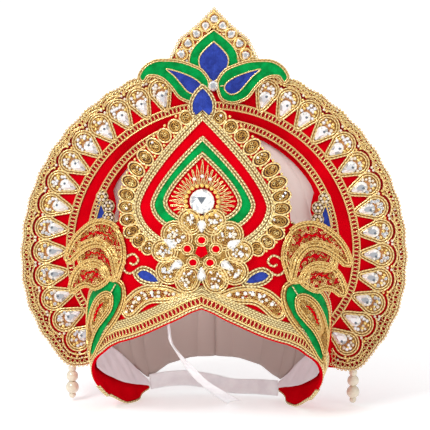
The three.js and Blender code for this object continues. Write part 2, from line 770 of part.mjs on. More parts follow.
// The tie from inside the brow band, falling to the floor inside the crown.
const tieRoute = [
  { at: [-26.2, -49.6, 84], turn: 78 },
  { at: [-24.9, -49.8, 72.5], turn: 78 },
  { at: [-23.7, -46.5, 61.9], turn: 75 },
  { at: [-19.2, -38.5, 52.3], turn: 72 },
  { at: [-13.5, -28.5, 42.2], turn: 66 },
  { at: [-6.5, -16, 30.7], turn: 58 },
  { at: [0.5, -2.5, 20.3], turn: 50 },
  { at: [7.7, 11, 11.6], turn: 44 },
  { at: [17.3, 24.5, 2.7], turn: 39 },
];

const ribbonWidth = 12;
const ribbonThick = 0.8;

// --- The crown ---

const crown = new THREE.Group();

function add(name, geometry, material) {
  const mesh = new THREE.Mesh(geometry, material);
  mesh.name = name;
  crown.add(mesh);
  return mesh;
}

// The right-hand piece as made, and its mirror image on the left.
function addPair(name, geometry, material) {
  add(`${name}_right`, geometry, material);
  add(`${name}_left`, geometry, material).scale.x = -1;
}

add("front_plate", frontPlate(), finish.red);
add("lining", lining(), finish.satin);
add("halo_board", haloBoard(), finish.red);
add("back_panel", backPanel(), finish.satin);
add("halo_edging", haloEdging(), finish.gold);
add("setting_row", settingRow(), finish.gold);
add("inner_braid", innerBraid(), finish.gold);
for (let number = 1; number <= stonesPerSide; number += 1) {
  addPair(`stone_${String(number).padStart(2, "0")}`, haloStone(number), finish.crystal);
}
add("lotus_arch", lotusArch(), finish.green);
add("lotus_petal", lotusPetal(), finish.blue);
addPair("lotus_leaf", lotusLeaf(), finish.green);
add("lotus_stone", disc({
  centre: [0, 243.6],
  radius: () => 3.9,
  segments: 8,
  near: onHalo,
  far: onHalo + 3,
  place: haloPoint,
}), finish.crystal);
add("spade_border", spadeBorder(), finish.gold);
add("spade_leaf", spadeLeaf(), finish.green);
add("sunburst", sunburst(), finish.gold);
add("round_stone", roundCrystal(), finish.crystal);
add("flower", flower(), finish.gold);
add("tip_leaf", tipLeaf(), finish.blue);
add("band_braid", bandBraid(), finish.gold);
addPair("band_crescent", bandCrescent(), finish.gold);
addPair("blue_leaf", blueLeaf(), finish.blue);
addPair("wing", wing(), finish.gold);
addPair("paisley", paisley(), finish.green);
addPair("drop", drop(), finish.pearl);
add("back_strap", ribbon(backStrapRoute, ribbonWidth, ribbonThick), finish.satin);
add("tie_ribbon", ribbon(tieRoute, ribbonWidth, ribbonThick), finish.satin);

export default crown;
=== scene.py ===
import math
import random

import bmesh
import bpy
from mathutils import Matrix, Vector, noise


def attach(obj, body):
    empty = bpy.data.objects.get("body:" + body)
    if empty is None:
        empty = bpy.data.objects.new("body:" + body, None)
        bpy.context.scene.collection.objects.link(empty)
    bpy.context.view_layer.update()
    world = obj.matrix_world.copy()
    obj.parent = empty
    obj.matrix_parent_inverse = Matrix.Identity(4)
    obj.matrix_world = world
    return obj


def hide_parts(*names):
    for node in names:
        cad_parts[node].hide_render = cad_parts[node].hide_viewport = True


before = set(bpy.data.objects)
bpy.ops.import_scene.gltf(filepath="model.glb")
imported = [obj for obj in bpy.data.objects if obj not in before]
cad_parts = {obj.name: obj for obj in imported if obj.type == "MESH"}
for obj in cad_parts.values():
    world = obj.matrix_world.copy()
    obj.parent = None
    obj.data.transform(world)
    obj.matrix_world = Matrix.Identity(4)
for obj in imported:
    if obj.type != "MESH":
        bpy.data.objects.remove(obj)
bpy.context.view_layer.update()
mm = 0.001
dice = random.Random(12)  # every random draw comes from here
handed = ((1, "right"), (-1, "left"))


# surfaces of the crown, in millimetres, as the frame has them

ring = {"half": 91, "front": 72, "back": 58, "y": 2.8}
curl = {"depth": 23, "height": 50, "starts": 60, "full": 86}
panel = {"sweep": math.radians(64), "curled": 14, "radius": 95, "behind": 3, "bulge": 30.8}
halo = {"y": 27.8, "z": 122, "inner": 88.4, "edge": 145, "drop": 8.5, "board": 3.2}
card = 2
front = card / 2  # the red cloth's front on the wall
face = halo["board"] / 2  # and on the halo
lean = math.tan(math.radians(5))
wallEnd = 141  # the turn at the flaps' ends
wingLeaves = 62  # from this x on the wings stand off the wall


def smooth(value, low, high):
    share = min(max((value - low) / (high - low), 0), 1)
    return share * share * (3 - 2 * share)


def mix(a, b, share):
    return a + (b - a) * share


def wallPlan(turn, height):
    angle = math.radians(turn)
    depth = ring["front"] if abs(turn) < 90 else ring["back"]
    share = smooth(abs(turn), curl["starts"], curl["full"])
    share *= 1 - 0.65 * smooth(abs(turn), 115, wallEnd)
    inward = curl["depth"] * share * max(0, 1 - height / curl["height"]) ** 1.5
    x = ring["half"] * math.sin(angle) - math.copysign(inward, turn)
    return Vector((x, ring["y"] - depth * math.cos(angle)))


def wallPoint(turn, height, out=0):
    # out runs from the middle of the card towards the viewer
    along = (wallPlan(turn + 0.3, height) - wallPlan(turn - 0.3, height)).normalized()
    at = wallPlan(turn, height)
    return Vector((at.x + out * along.y, at.y - out * along.x + height * lean, height)) * mm


def frontTurn(x):
    return math.degrees(math.asin(min(max(x / ring["half"], -1), 1)))


def frontPoint(x, height, out=0):
    return wallPoint(frontTurn(x), height, out)


def wingPoint(x, height, out=0):
    if abs(x) <= wingLeaves:
        return frontPoint(x, height, out)
    side = math.copysign(1, x)
    start = frontTurn(wingLeaves)
    here = wallPoint(start * side, height, out)
    ahead = wallPoint((start + 1) * side, height, out)
    point = here.lerp(ahead, (x * mm - here.x) / (ahead.x - here.x))
    return Vector((point.x, point.y, height * mm))


def haloPoint(x, height, out=0):
    return Vector((x, halo["y"] - out + height * lean, height)) * mm


def ringPoint(radius, drop, degrees, tuck=5.5):
    # the lower ends of the rings draw in by their tuck
    angle = math.radians(degrees)
    reach = radius - drop * math.cos(angle) - tuck * smooth(abs(degrees), 103, 130)
    return (reach * math.sin(angle), halo["z"] + reach * math.cos(angle))


def panelPoint(side, height, out=0):
    # the satin back: it bulges low down and lies behind the halo's ring above
    sweep = panel["sweep"]
    curled = panel["curled"] * max(0, 1 - height / curl["height"]) ** 1.5
    low = ring["half"] * math.sin(sweep) - curled
    rise = abs(height - halo["z"])
    half = mix(low, math.sqrt(max(0, panel["radius"] ** 2 - rise ** 2)), smooth(height, 45, 80))
    bulge = panel["bulge"] * (1 - smooth(height, 45, 205)) + 0.5
    x = half * math.sin(side * sweep) / math.sin(sweep)
    back = (math.cos(side * sweep) - math.cos(sweep)) / (1 - math.cos(sweep))
    y = halo["y"] + panel["behind"] + bulge * back - out + height * lean
    return Vector((x, y, height)) * mm


# the wall's edges by plan angle: lower, upper, lining hem, lining top
wallColumns = ("turn", "low", "top", "hem", "lined")
wallSections = [dict(zip(wallColumns, row)) for row in (
    (0, 90, 249, 93, 112),
    (2.5, 88.6, 245.5, 91.5, 112),
    (5, 87, 237.5, 90, 112),
    (6.2, 86, 231.5, 89, 112),
    (10.8, 82, 228, 85, 112),
    (15.6, 78.4, 221.5, 81.5, 112),
    (20.3, 74.8, 215, 78, 112),
    (25.4, 71, 207, 74, 112),
    (30.4, 67.7, 198.5, 70.7, 112),
    (35.2, 65, 189, 68, 112),
    (38.9, 63.2, 179, 66.2, 112),
    (41.5, 62, 166, 65, 112),
    (43, 61, 150, 64, 112),
    (48.8, 57, 145.5, 60, 112),
    (54.4, 51.8, 139, 54.8, 110),
    (59, 48.2, 128, 51, 106),
    (63, 44.5, 114, 47.5, 101),
    (67, 39.5, 102, 43.5, 96),
    (71, 33, 96, 40, 91),
    (76, 24.5, 91, 36.5, 86),
    (81, 17.5, 85, 33.5, 80),
    (86, 9.5, 76, 31, 71),
    (91, 3, 67, 28.5, 62),
    (96, 0, 59.5, 26, 55),
    (101, 0, 53.5, 23.5, 50),
    (106, 0, 49, 21, 46),
    (111, 0, 46, 18, 43.5),
    (116, 0, 44, 15.5, 41.5),
    (122, 0, 38, 13.5, 35.5),
    (128, 0, 31, 12, 28.5),
    (134.5, 2.5, 22, 11, 19.5),
    (wallEnd, 5.5, 14, 9.5, 12.5),
)]


def wallEdge(turn, edge):
    turn = min(abs(turn), wallEnd)
    for here, ahead in zip(wallSections, wallSections[1:]):
        if turn <= ahead["turn"]:
            share = (turn - here["turn"]) / (ahead["turn"] - here["turn"])
            return mix(here[edge], ahead[edge], share)
    return wallSections[-1][edge]


# lines on a surface

def through(points, step=1.2, closed=False):
    # even points along a smooth line through a few
    points = [Vector(p) for p in points]
    count = len(points)
    dense = []
    for i in range(count if closed else count - 1):
        if closed:
            four = [points[(i + k) % count] for k in (-1, 0, 1, 2)]
        else:
            four = [points[min(max(i + k, 0), count - 1)] for k in (-1, 0, 1, 2)]
        a, b, c, d = four
        for k in range(8):
            t = k / 8
            dense.append(0.5 * (2 * b + (c - a) * t + (2 * a - 5 * b + 4 * c - d) * t * t
                                + (3 * b - a - 3 * c + d) * t ** 3))
    dense.append(points[0] if closed else points[-1])
    return evenly(dense, step, closed)


def evenly(points, step, closed=False):
    points = [Vector(p) for p in points]
    total = sum((b - a).length for a, b in zip(points, points[1:]))
    count = max(2, round(total / step))
    out, goal, walked = [], 0, 0
    for a, b in zip(points, points[1:]):
        span = (b - a).length
        while goal <= walked + span + 1e-9 and len(out) <= count:
            out.append(a.lerp(b, (goal - walked) / span if span else 0))
            goal += total / count
        walked += span
    if len(out) <= count:
        out.append(points[-1])
    return out[:-1] if closed else out


def shifted(points, distance, closed=False):
    # the line moved to its left by a distance
    out = []
    count = len(points)
    for i, here in enumerate(points):
        if closed:
            before, after = points[i - 1], points[(i + 1) % count]
        else:
            before, after = points[max(i - 1, 0)], points[min(i + 1, count - 1)]
        along = (Vector(after) - Vector(before)).normalized()
        out.append(Vector(here) + Vector((-along.y, along.x)) * distance)
    return out


def sided(points, side):
    # points of the right side as they are, or mirrored for the left one
    return [Vector((side * p[0], p[1])) for p in points]


def mirroredLine(half):
    # from the left end over the middle to the right end
    return sided(half[:0:-1], -1) + [Vector(p) for p in half]


def mirroredLoop(half):
    # an outline from a half that starts and ends in the middle
    return [Vector(p) for p in half] + sided(half[-2:0:-1], -1)


def circleLine(x, z, radius, count, tall=0):
    # points round a centre, on an ellipse where the height differs
    turns = [math.tau * i / count for i in range(count)]
    return [Vector((x + radius * math.cos(a), z + (tall or radius) * math.sin(a))) for a in turns]


def inside(point, outline):
    x, z = point
    within = False
    for a, b in zip(outline, outline[1:] + outline[:1]):
        if (a[1] > z) != (b[1] > z) and x < a[0] + (z - a[1]) * (b[0] - a[0]) / (b[1] - a[1]):
            within = not within
    return within


def edgeDistance(point, outline):
    best = 1e9
    p = Vector(point)
    for a, b in zip(outline, outline[1:] + outline[:1]):
        a, b = Vector(a), Vector(b)
        span = (b - a).length_squared
        share = min(max((p - a).dot(b - a) / span, 0), 1) if span else 0
        best = min(best, (p - a.lerp(b, share)).length)
    return best


def strewn(outline, spacing, margin, jitter=0.3):
    # a loose honeycomb of places inside an outline
    xs = [p[0] for p in outline]
    zs = [p[1] for p in outline]
    places = []
    row = 0
    z = min(zs)
    while z < max(zs):
        x = min(xs) + (spacing / 2 if row % 2 else 0)
        while x < max(xs):
            spot = (x + dice.uniform(-jitter, jitter) * spacing,
                    z + dice.uniform(-jitter, jitter) * spacing)
            if inside(spot, outline) and edgeDistance(spot, outline) > margin:
                places.append(spot)
            x += spacing
        z += spacing * 0.866
        row += 1
    return places


def seatAt(place, a, b, out=0, turn=0, size=1):
    # a matrix that sets a small shape on a surface, its z outwards, turned in the surface
    here = place(a, b, out)
    right = (place(a + 0.4, b, out) - place(a - 0.4, b, out)).normalized()
    up = (place(a, b + 0.4, out) - place(a, b - 0.4, out)).normalized()
    normal = right.cross(up).normalized()
    up = normal.cross(right)
    frameHere = Matrix((right, up, normal)).transposed().to_4x4()
    spin = Matrix.Rotation(turn, 4, "Z") @ Matrix.Diagonal((size, size, size, 1))
    return Matrix.Translation(here) @ frameHere @ spin


# making meshes

class Store:
    # one growing mesh on one surface of the crown, which becomes one piece
    def __init__(self, place=None):
        self.place = place
        self.bm = bmesh.new()
        self.bm.loops.layers.uv.new("UVMap")
        self.slots = []

    def index(self, material):
        if material not in self.slots:
            self.slots.append(material)
        return self.slots.index(material)

    def add(self, mesh, material, seat=None):
        # a seated mesh is copied, any other one is used up
        if seat is not None:
            mesh = mesh.copy()
            mesh.transform(seat)
        count = len(self.bm.faces)
        self.bm.from_mesh(mesh)
        slot = self.index(material)
        if slot:
            self.bm.faces.ensure_lookup_table()
            for face in self.bm.faces[count:]:
                face.material_index = slot
        bpy.data.meshes.remove(mesh)

    def piece(self, name, slotName, *nodes):
        mesh = bpy.data.meshes.new(name)
        self.bm.to_mesh(mesh)
        self.bm.free()
        for material in self.slots:
            mesh.materials.append(material)
        made = bpy.data.objects.new(name, mesh)
        bpy.context.scene.collection.objects.link(made)
        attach(made, "root")
        if nodes:
            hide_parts(*nodes)
        return made


tubeCurve = bpy.data.curves.new("tube", "CURVE")
tubeCurve.dimensions = "3D"
tubeCurve.use_fill_caps = True
tubeObject = bpy.data.objects.new("tube", tubeCurve)
twistPitch = 2.8


def tubeMesh(points, radius, closed=False, sides=1, tips=1.0, hand=1):
    # a round cord along points in metres; its uv counts the turns of twist, of either hand
    tubeCurve.splines.clear()
    tubeCurve.bevel_depth = radius * mm
    tubeCurve.bevel_resolution = sides
    spline = tubeCurve.splines.new("POLY")
    spline.points.add(len(points) - 1)
    length = 0
    for i, point in enumerate(points):
        spline.points[i].co = (*point, 1)
        share = i / (len(points) - 1)
        spline.points[i].radius = 1 if closed else mix(tips, 1, min(1, 6 * min(share, 1 - share)))
        if i:
            length += (point - points[i - 1]).length
    spline.use_cyclic_u = closed
    spline.use_smooth = True
    mesh = bpy.data.meshes.new_from_object(tubeObject)
    layer = mesh.uv_layers[0]
    values = [0.0] * (2 * len(mesh.loops))
    layer.data.foreach_get("uv", values)
    values[0::2] = [u * max(1, round(length / (twistPitch * mm))) for u in values[0::2]]
    values[1::2] = [v * hand for v in values[1::2]]
    layer.data.foreach_set("uv", values)
    return mesh


def addCord(store, line, out, radius, material, closed=False, tips=1.0, sides=1, hand=1):
    points = [store.place(p[0], p[1], out) for p in line]
    store.add(tubeMesh(points, radius, closed, sides, tips, hand), material)


def stud(store, mesh, material, at, out, turn=0, size=1):
    # one small shape on the surface
    store.add(mesh, material, seatAt(store.place, at[0], at[1], out, turn, size))


def finished(bm, smoothFaces=True):
    mesh = bpy.data.meshes.new("shape")
    for face in bm.faces:
        face.smooth = smoothFaces
    bm.to_mesh(mesh)
    bm.free()
    return mesh


def shapeBmesh():
    bm = bmesh.new()
    bm.loops.layers.uv.new("UVMap")
    return bm


def beadMesh(radius, fine=2):
    bm = shapeBmesh()
    bmesh.ops.create_icosphere(bm, subdivisions=fine, radius=radius * mm)
    return finished(bm)


def coilMesh(long, radius):
    # a short cut of bullion wire lying on the surface
    bm = shapeBmesh()
    bmesh.ops.create_cone(bm, cap_ends=True, segments=6, radius1=radius * mm, radius2=radius * mm,
                          depth=long * mm, matrix=Matrix.Rotation(math.pi / 2, 4, "Y"))
    bmesh.ops.translate(bm, vec=(0, 0, radius * mm * 0.7), verts=bm.verts)
    return finished(bm)


def gemMesh(radius, height, sides=8, table=0.55):
    # a cut crystal: girdle, crown facets and table
    bm = shapeBmesh()
    bmesh.ops.create_cone(bm, cap_ends=True, segments=sides, radius1=radius * mm,
                          radius2=radius * table * mm, depth=height * mm)
    top = [v for v in bm.verts if v.co.z > 0]
    bmesh.ops.rotate(bm, cent=(0, 0, 0), matrix=Matrix.Rotation(math.pi / sides, 3, "Z"), verts=top)
    bmesh.ops.translate(bm, vec=(0, 0, height * mm / 2), verts=bm.verts)
    bmesh.ops.triangulate(bm, faces=[f for f in bm.faces if len(f.verts) == 4])
    return finished(bm, smoothFaces=False)


def loopMesh(long, wide, radius, count=8):
    # an oval ring of thread lying on the surface
    points = []
    for i in range(count):
        angle = 2 * math.pi * i / count
        points.append(Vector((wide * math.cos(angle) / 2, long * math.sin(angle) / 2, radius)) * mm)
    return tubeMesh(points, radius, True, sides=0)


def clothGrid(columns, rows, shape, material):
    # a grid whose points are set by shape(share across, share up), in metres
    bm = shapeBmesh()
    bmesh.ops.create_grid(bm, x_segments=columns, y_segments=rows, size=0.5, calc_uvs=True)
    for vertex in bm.verts:
        vertex.co = shape(vertex.co.x + 0.5, vertex.co.y + 0.5)
    store = Store()
    store.add(finished(bm), material)
    return store


def addPatch(store, outline, out, material, crown=0, rim=1.6, cell=4):
    # a fill inside an outline, crowned like padded cloth within its rim
    bm = shapeBmesh()
    points = [bm.verts.new((p[0], p[1], 0)) for p in outline]
    fill = bm.faces.new(points)
    fill.normal_update()
    if fill.normal.z < 0:
        fill.normal_flip()
    for before, share in ((0, 0.5), (0.5, 1)) if crown else ():
        depth = crown * (math.sin(share * math.pi / 2) - math.sin(before * math.pi / 2))
        bmesh.ops.inset_region(bm, faces=[fill], thickness=rim / 2, depth=depth, use_even_offset=True)
    xs = [p[0] for p in outline]
    x = math.floor(min(xs) / cell) * cell + cell
    while x < max(xs):
        bmesh.ops.bisect_plane(bm, geom=bm.verts[:] + bm.edges[:] + bm.faces[:],
                               plane_co=(x, 0, 0), plane_no=(1, 0, 0))
        x += cell
    bmesh.ops.triangulate(bm, faces=bm.faces[:])
    for vertex in bm.verts:
        vertex.co = store.place(vertex.co.x, vertex.co.y, out + vertex.co.z)
    store.add(finished(bm), material)


def addStrip(store, line, width, out, material):
    # a flat band of this width along an open line
    bm = shapeBmesh()
    left, right = ([bm.verts.new(store.place(p[0], p[1], out)) for p in shifted(line, side * width / 2)]
                   for side in (1, -1))
    for i in range(len(line) - 1):
        bm.faces.new((right[i], right[i + 1], left[i + 1], left[i]))
    store.add(finished(bm), material)


# materials

def node(tree, kind, inputs=None, **settings):
    made = tree.nodes.new(kind)
    for key, value in settings.items():
        setattr(made, key, value)
    for key, value in (inputs or {}).items():
        if isinstance(value, bpy.types.NodeSocket):
            tree.links.new(value, made.inputs[key])
        else:
            made.inputs[key].default_value = value
    return made


def group(name, inputs, outputs):
    tree = bpy.data.node_groups.new(name, "ShaderNodeTree")
    for label, kind in inputs:
        tree.interface.new_socket(label, in_out="INPUT", socket_type="NodeSocket" + kind)
    for label, kind in outputs:
        tree.interface.new_socket(label, in_out="OUTPUT", socket_type="NodeSocket" + kind)
    return tree, tree.nodes.new("NodeGroupInput"), tree.nodes.new("NodeGroupOutput")


def maths(tree, operation, first, second=0.0):
    made = node(tree, "ShaderNodeMath", {0: first, 1: second}, operation=operation)
    return made.outputs[0]


def blend(tree, factor, low, high, out):
    # the group's colour, between two
    tint = node(tree, "ShaderNodeMix", {"Factor": factor, "A": low, "B": high}, data_type="RGBA")
    tree.links.new(tint.outputs["Result"], out.inputs["Color"])


def noiseOn(tree, at, scale, detail):
    made = node(tree, "ShaderNodeTexNoise", {"Vector": at, "Scale": scale, "Detail": detail})
    return made.outputs["Fac"]


def shade(hexColour):
    # a written sRGB colour as linear
    parts = [int(hexColour[i:i + 2], 16) / 255 for i in (0, 2, 4)]
    linear = [p / 12.92 if p <= 0.04045 else ((p + 0.055) / 1.055) ** 2.4 for p in parts]
    return (*linear, 1)


def twistGroup():
    # strands laid round a cord: they follow its uv; the colour darkens into the grooves between strands as
    # painted shade
    tree, given, out = group("Twist", [("Light", "Color"), ("Dark", "Color"), ("Strands", "Float")],
                             [("Color", "Color"), ("Height", "Float")])
    uv = node(tree, "ShaderNodeUVMap", uv_map="UVMap")
    parts = node(tree, "ShaderNodeSeparateXYZ", {0: uv.outputs[0]})
    across = maths(tree, "MULTIPLY", parts.outputs[1], given.outputs["Strands"])
    along = maths(tree, "MULTIPLY", parts.outputs[0], given.outputs["Strands"])
    wave = maths(tree, "PINGPONG", maths(tree, "ADD", along, across), 0.5)
    height = maths(tree, "POWER", maths(tree, "MULTIPLY", wave, 2.0), 0.6)
    blend(tree, height, given.outputs["Dark"], given.outputs["Light"], out)
    tree.links.new(height, out.inputs["Height"])
    return tree


def clothGroup():
    # satin: fine threads, faint slubs and slow changes of tone
    tree, given, out = group("Cloth", [("Color", "Color"), ("Deep", "Color"), ("Thread", "Float"),
                                       ("Cloud", "Float")],
                             [("Color", "Color"), ("Height", "Float")])
    at = node(tree, "ShaderNodeTexCoord").outputs["Object"]
    cloud = noiseOn(tree, at, given.outputs["Cloud"], 3.0)
    thread = noiseOn(tree, at, given.outputs["Thread"], 2.0)
    ramp = node(tree, "ShaderNodeMapRange", {"Value": cloud, "From Min": 0.35, "From Max": 0.65})
    both = maths(tree, "ADD", maths(tree, "MULTIPLY", ramp.outputs[0], 0.65),
                 maths(tree, "MULTIPLY", thread, 0.5))
    blend(tree, both, given.outputs["Deep"], given.outputs["Color"], out)
    tree.links.new(thread, out.inputs["Height"])
    return tree


def facetReflectionGroup():
    # painted reflection: each facet's tone follows the way it faces, light or dark as if it mirrored the
    # studio
    tree, given, out = group("Facet", [("Light", "Color"), ("Dark", "Color"), ("Variety", "Float")],
                             [("Color", "Color")])
    coord = node(tree, "ShaderNodeTexCoord")
    spread, place = (node(tree, "ShaderNodeVectorMath", {0: coord.outputs[key], 1: (by, by, by)},
                          operation="MULTIPLY") for key, by in (("Normal", 7), ("Object", 9)))
    mixed = node(tree, "ShaderNodeVectorMath", {0: spread.outputs[0], 1: place.outputs[0]},
                 operation="ADD")
    tone = noiseOn(tree, mixed.outputs[0], given.outputs["Variety"], 0.0)
    ramp = node(tree, "ShaderNodeMapRange", {"Value": tone, "From Min": 0.33, "From Max": 0.44})
    blend(tree, ramp.outputs[0], given.outputs["Dark"], given.outputs["Light"], out)
    return tree


def paintedShadeGroup():
    # painted shade: the satin darker low down, where the band shades it, and plainer above
    tree, given, out = group("Fade", [("Low", "Color"), ("High", "Color")],
                             [("Color", "Color"), ("Height", "Float")])
    at = node(tree, "ShaderNodeTexCoord").outputs["Object"]
    parts = node(tree, "ShaderNodeSeparateXYZ", {0: at})
    rise = node(tree, "ShaderNodeMapRange", {"Value": parts.outputs[2], "From Min": 0.08,
                                             "From Max": 0.13})
    thread = noiseOn(tree, at, 2200.0, 2.0)
    blend(tree, rise.outputs[0], given.outputs["Low"], given.outputs["High"], out)
    tree.links.new(thread, out.inputs["Height"])
    return tree


def surface(name, effect=None, values=None, bump=0.0, depth=0.15, **sockets):
    made = bpy.data.materials.new(name)
    made.use_nodes = True
    tree = made.node_tree
    bsdf = tree.nodes["Principled BSDF"]
    for key, value in sockets.items():
        bsdf.inputs[key.replace("_", " ")].default_value = value
    if effect:
        used = node(tree, "ShaderNodeGroup", node_tree=effect)
        for key, value in values.items():
            used.inputs[key].default_value = value
        tree.links.new(used.outputs["Color"], bsdf.inputs["Base Color"])
        if bump:
            relief = node(tree, "ShaderNodeBump", {"Strength": bump, "Distance": depth * mm,
                                                   "Height": used.outputs["Height"]})
            tree.links.new(relief.outputs[0], bsdf.inputs["Normal"])
    return made


twist, cloth, facet, paintedShade = twistGroup(), clothGroup(), facetReflectionGroup(), paintedShadeGroup()


def twisted(name, light, dark, strands=1.0, **rest):
    return surface(name, twist, {"Light": shade(light), "Dark": shade(dark), "Strands": strands},
                   **rest)


def woven(name, colour, deep, threads, clouds, **rest):
    return surface(name, cloth, {"Color": shade(colour), "Deep": shade(deep), "Thread": threads,
                                 "Cloud": clouds}, **rest)


def plain(name, colour, **rest):
    return surface(name, Base_Color=shade(colour), **rest)


# zari and the other twisted golds are darker in the grooves between strands: painted shade
zari = twisted("zari", "FFEFB2", "7C4410", bump=0.7, depth=0.25, Metallic=0.5, Roughness=0.25)
thread = plain("gold thread", "FADC92", Metallic=0.5, Roughness=0.22)
deepCord = twisted("deep gold cord", "FADA8C", "BE8438", bump=0.25, depth=0.2, Metallic=0.55,
                   Roughness=0.2)
softCord = twisted("soft gold cord", "FFEAAA", "D2A052", bump=0.25, depth=0.2, Metallic=0.5,
                   Roughness=0.2)
# a dark backing laid under curls and pearls: painted shade in the gaps between them
gapShadeBacking = plain("dark thread", "5A2808", Roughness=0.7)
# a dark thread laid low between cords: painted shade in the gap
gapShadeThread = twisted("gap shade thread", "B07A34", "2E1002", 0.8, Roughness=0.7)
# darker copies of the red satin, laid under lace and loops: painted shade of the red cloth
laceShadeRed = plain("laceShadeRed", "8C0A12", Roughness=0.8, Specular_IOR_Level=0.0)
shadedRed = plain("red painted shade", "AE0614", Roughness=0.7, Specular_IOR_Level=0.1)
bullion = woven("bullion", "DEAE58", "925C22", 1400.0, 500.0, bump=0.3, depth=0.1, Metallic=0.55,
                Roughness=0.3)
goldBead = plain("gold bead", "F2D282", Metallic=0.65, Roughness=0.22)
redSatin = woven("red satin", "D80214", "BE000E", 2600.0, 60.0, bump=0.12, depth=0.1, Roughness=0.7,
                 Specular_IOR_Level=0.0)
brocade = woven("red brocade", "D8081A", "A20212", 1500.0, 900.0, bump=0.4, depth=0.2, Roughness=0.7,
                Specular_IOR_Level=0.1)
greenSatin = woven("green satin", "00A24C", "00702E", 2400.0, 180.0, bump=0.3, depth=0.2,
                   Roughness=0.6, Specular_IOR_Level=0.05)
blueSatin = woven("blue satin", "3048AE", "182878", 1800.0, 260.0, bump=0.5, depth=0.3, Roughness=0.5,
                  Specular_IOR_Level=0.15)
whiteSatin = woven("white satin", "F0E6EA", "E4D8DC", 2200.0, 70.0, bump=0.1, depth=0.1, Roughness=0.5)
rust = woven("rust cloth", "DCAA62", "9C3A18", 1500.0, 900.0, Roughness=0.7)
# painted shade: the back satin darker low down, under the band
shadedBackSatin = surface("back satin painted shade", paintedShade, {"Low": shade("B6A39B"), "High": shade("E4D8D0")},
                    bump=0.1, depth=0.1, Roughness=0.55)
# a faint white emission: painted glow on the ribbon
ribbonSatin = woven("ribbon satin", "FFFEFF", "ECE8EC", 2600.0, 120.0, bump=0.1, depth=0.1,
                    Roughness=0.35, Emission_Color=(1, 1, 1, 1), Emission_Strength=0.03)
# facets light or dark by the way they face: painted reflection
crystal = surface("crystal", facet, {"Light": shade("FFFFFF"), "Dark": shade("B4B9BE"),
                                     "Variety": 1.0}, Roughness=0.08, Coat_Weight=0.8, Metallic=0.15)
# grey facets on the crystals: painted dark reflection
darkReflectionFacet = plain("dark facet painted reflection", "68717B", Roughness=0.1, Coat_Weight=0.5)
pearl = plain("pearl", "E9DDC6", Roughness=0.14, Coat_Weight=1.0)
yellowPearl = plain("yellow pearl", "F0C768", Roughness=0.25, Coat_Weight=0.4, Metallic=0.3)
print("materials")

# camera, light and floor

aim = Vector((1.54, 41.41, 144.87)) * mm
eye = Vector((110.56, -1343.87, 315.49)) * mm
cameraData = bpy.data.cameras.new("camera")
cameraData.sensor_width = 36
cameraData.lens = 152.6
camera = bpy.data.objects.new("camera", cameraData)
camera.location = eye
camera.rotation_euler = (aim - eye).to_track_quat("-Z", "Y").to_euler()
bpy.context.scene.collection.objects.link(camera)
bpy.context.scene.camera = camera

lamps = [
    {"name": "key", "at": (-0.8, -1.1, 1.35), "size": 0.5, "power": 16},
    {"name": "fill", "at": (1.2, -1.2, 0.7), "size": 0.8, "power": 4},
    {"name": "top", "at": (0.1, 0.0, 1.6), "size": 1.0, "power": 3},
]
for lamp in lamps:
    lampData = bpy.data.lights.new(lamp["name"], "AREA")
    lampData.size = lamp["size"]
    lampData.energy = lamp["power"]
    made = bpy.data.objects.new(lamp["name"], lampData)
    made.location = lamp["at"]
    made.rotation_euler = (Vector((0, 0, 0.13)) - made.location).to_track_quat("-Z", "Y").to_euler()
    bpy.context.scene.collection.objects.link(made)

world = bpy.data.worlds.new("studio")
bpy.context.scene.world = world
world.use_nodes = True
sky = world.node_tree
sky.nodes["Background"].inputs["Color"].default_value = (1, 1, 1, 1)
seen = node(sky, "ShaderNodeLightPath").outputs["Is Camera Ray"]
toward = node(sky, "ShaderNodeSeparateXYZ", {0: node(sky, "ShaderNodeTexCoord").outputs["Generated"]})
glow = node(sky, "ShaderNodeMapRange", {"Value": toward.outputs[2], "From Min": -0.2, "From Max": 0.9,
                                        "To Min": 0.2, "To Max": 0.68}).outputs[0]
shown = maths(sky, "MULTIPLY", maths(sky, "SUBTRACT", 1.06, glow), seen)
sky.links.new(maths(sky, "ADD", glow, shown), sky.nodes["Background"].inputs["Strength"])
bpy.context.scene.view_settings.view_transform = "Standard"

floorMesh = bpy.data.meshes.new("floor")
floorBm = bmesh.new()
bmesh.ops.create_grid(floorBm, x_segments=1, y_segments=1, size=40)
floorBm.to_mesh(floorMesh)
floorBm.free()
floor = bpy.data.objects.new("floor", floorMesh)
floorLook = surface("floor", Base_Color=(0.84, 0.84, 0.84, 1), Roughness=0.7,
                    Emission_Color=(1, 1, 1, 1))
floorMesh.materials.append(floorLook)
floorTree = floorLook.node_tree
floorAt = node(floorTree, "ShaderNodeTexCoord").outputs["Object"]
away = node(floorTree, "ShaderNodeVectorMath", {0: floorAt}, operation="LENGTH").outputs["Value"]
lift = node(floorTree, "ShaderNodeMapRange", {"Value": away, "From Min": 0.15, "From Max": 1.0,
                                              "To Min": 0.36, "To Max": 0.8}).outputs[0]
floorTree.links.new(lift, floorTree.nodes["Principled BSDF"].inputs["Emission Strength"])
bpy.context.scene.collection.objects.link(floor)

# ribbons

def thicken(piece, thickness, offset=0):
    made = piece.modifiers.new("thickness", "SOLIDIFY")
    made.thickness = thickness * mm
    made.offset = offset


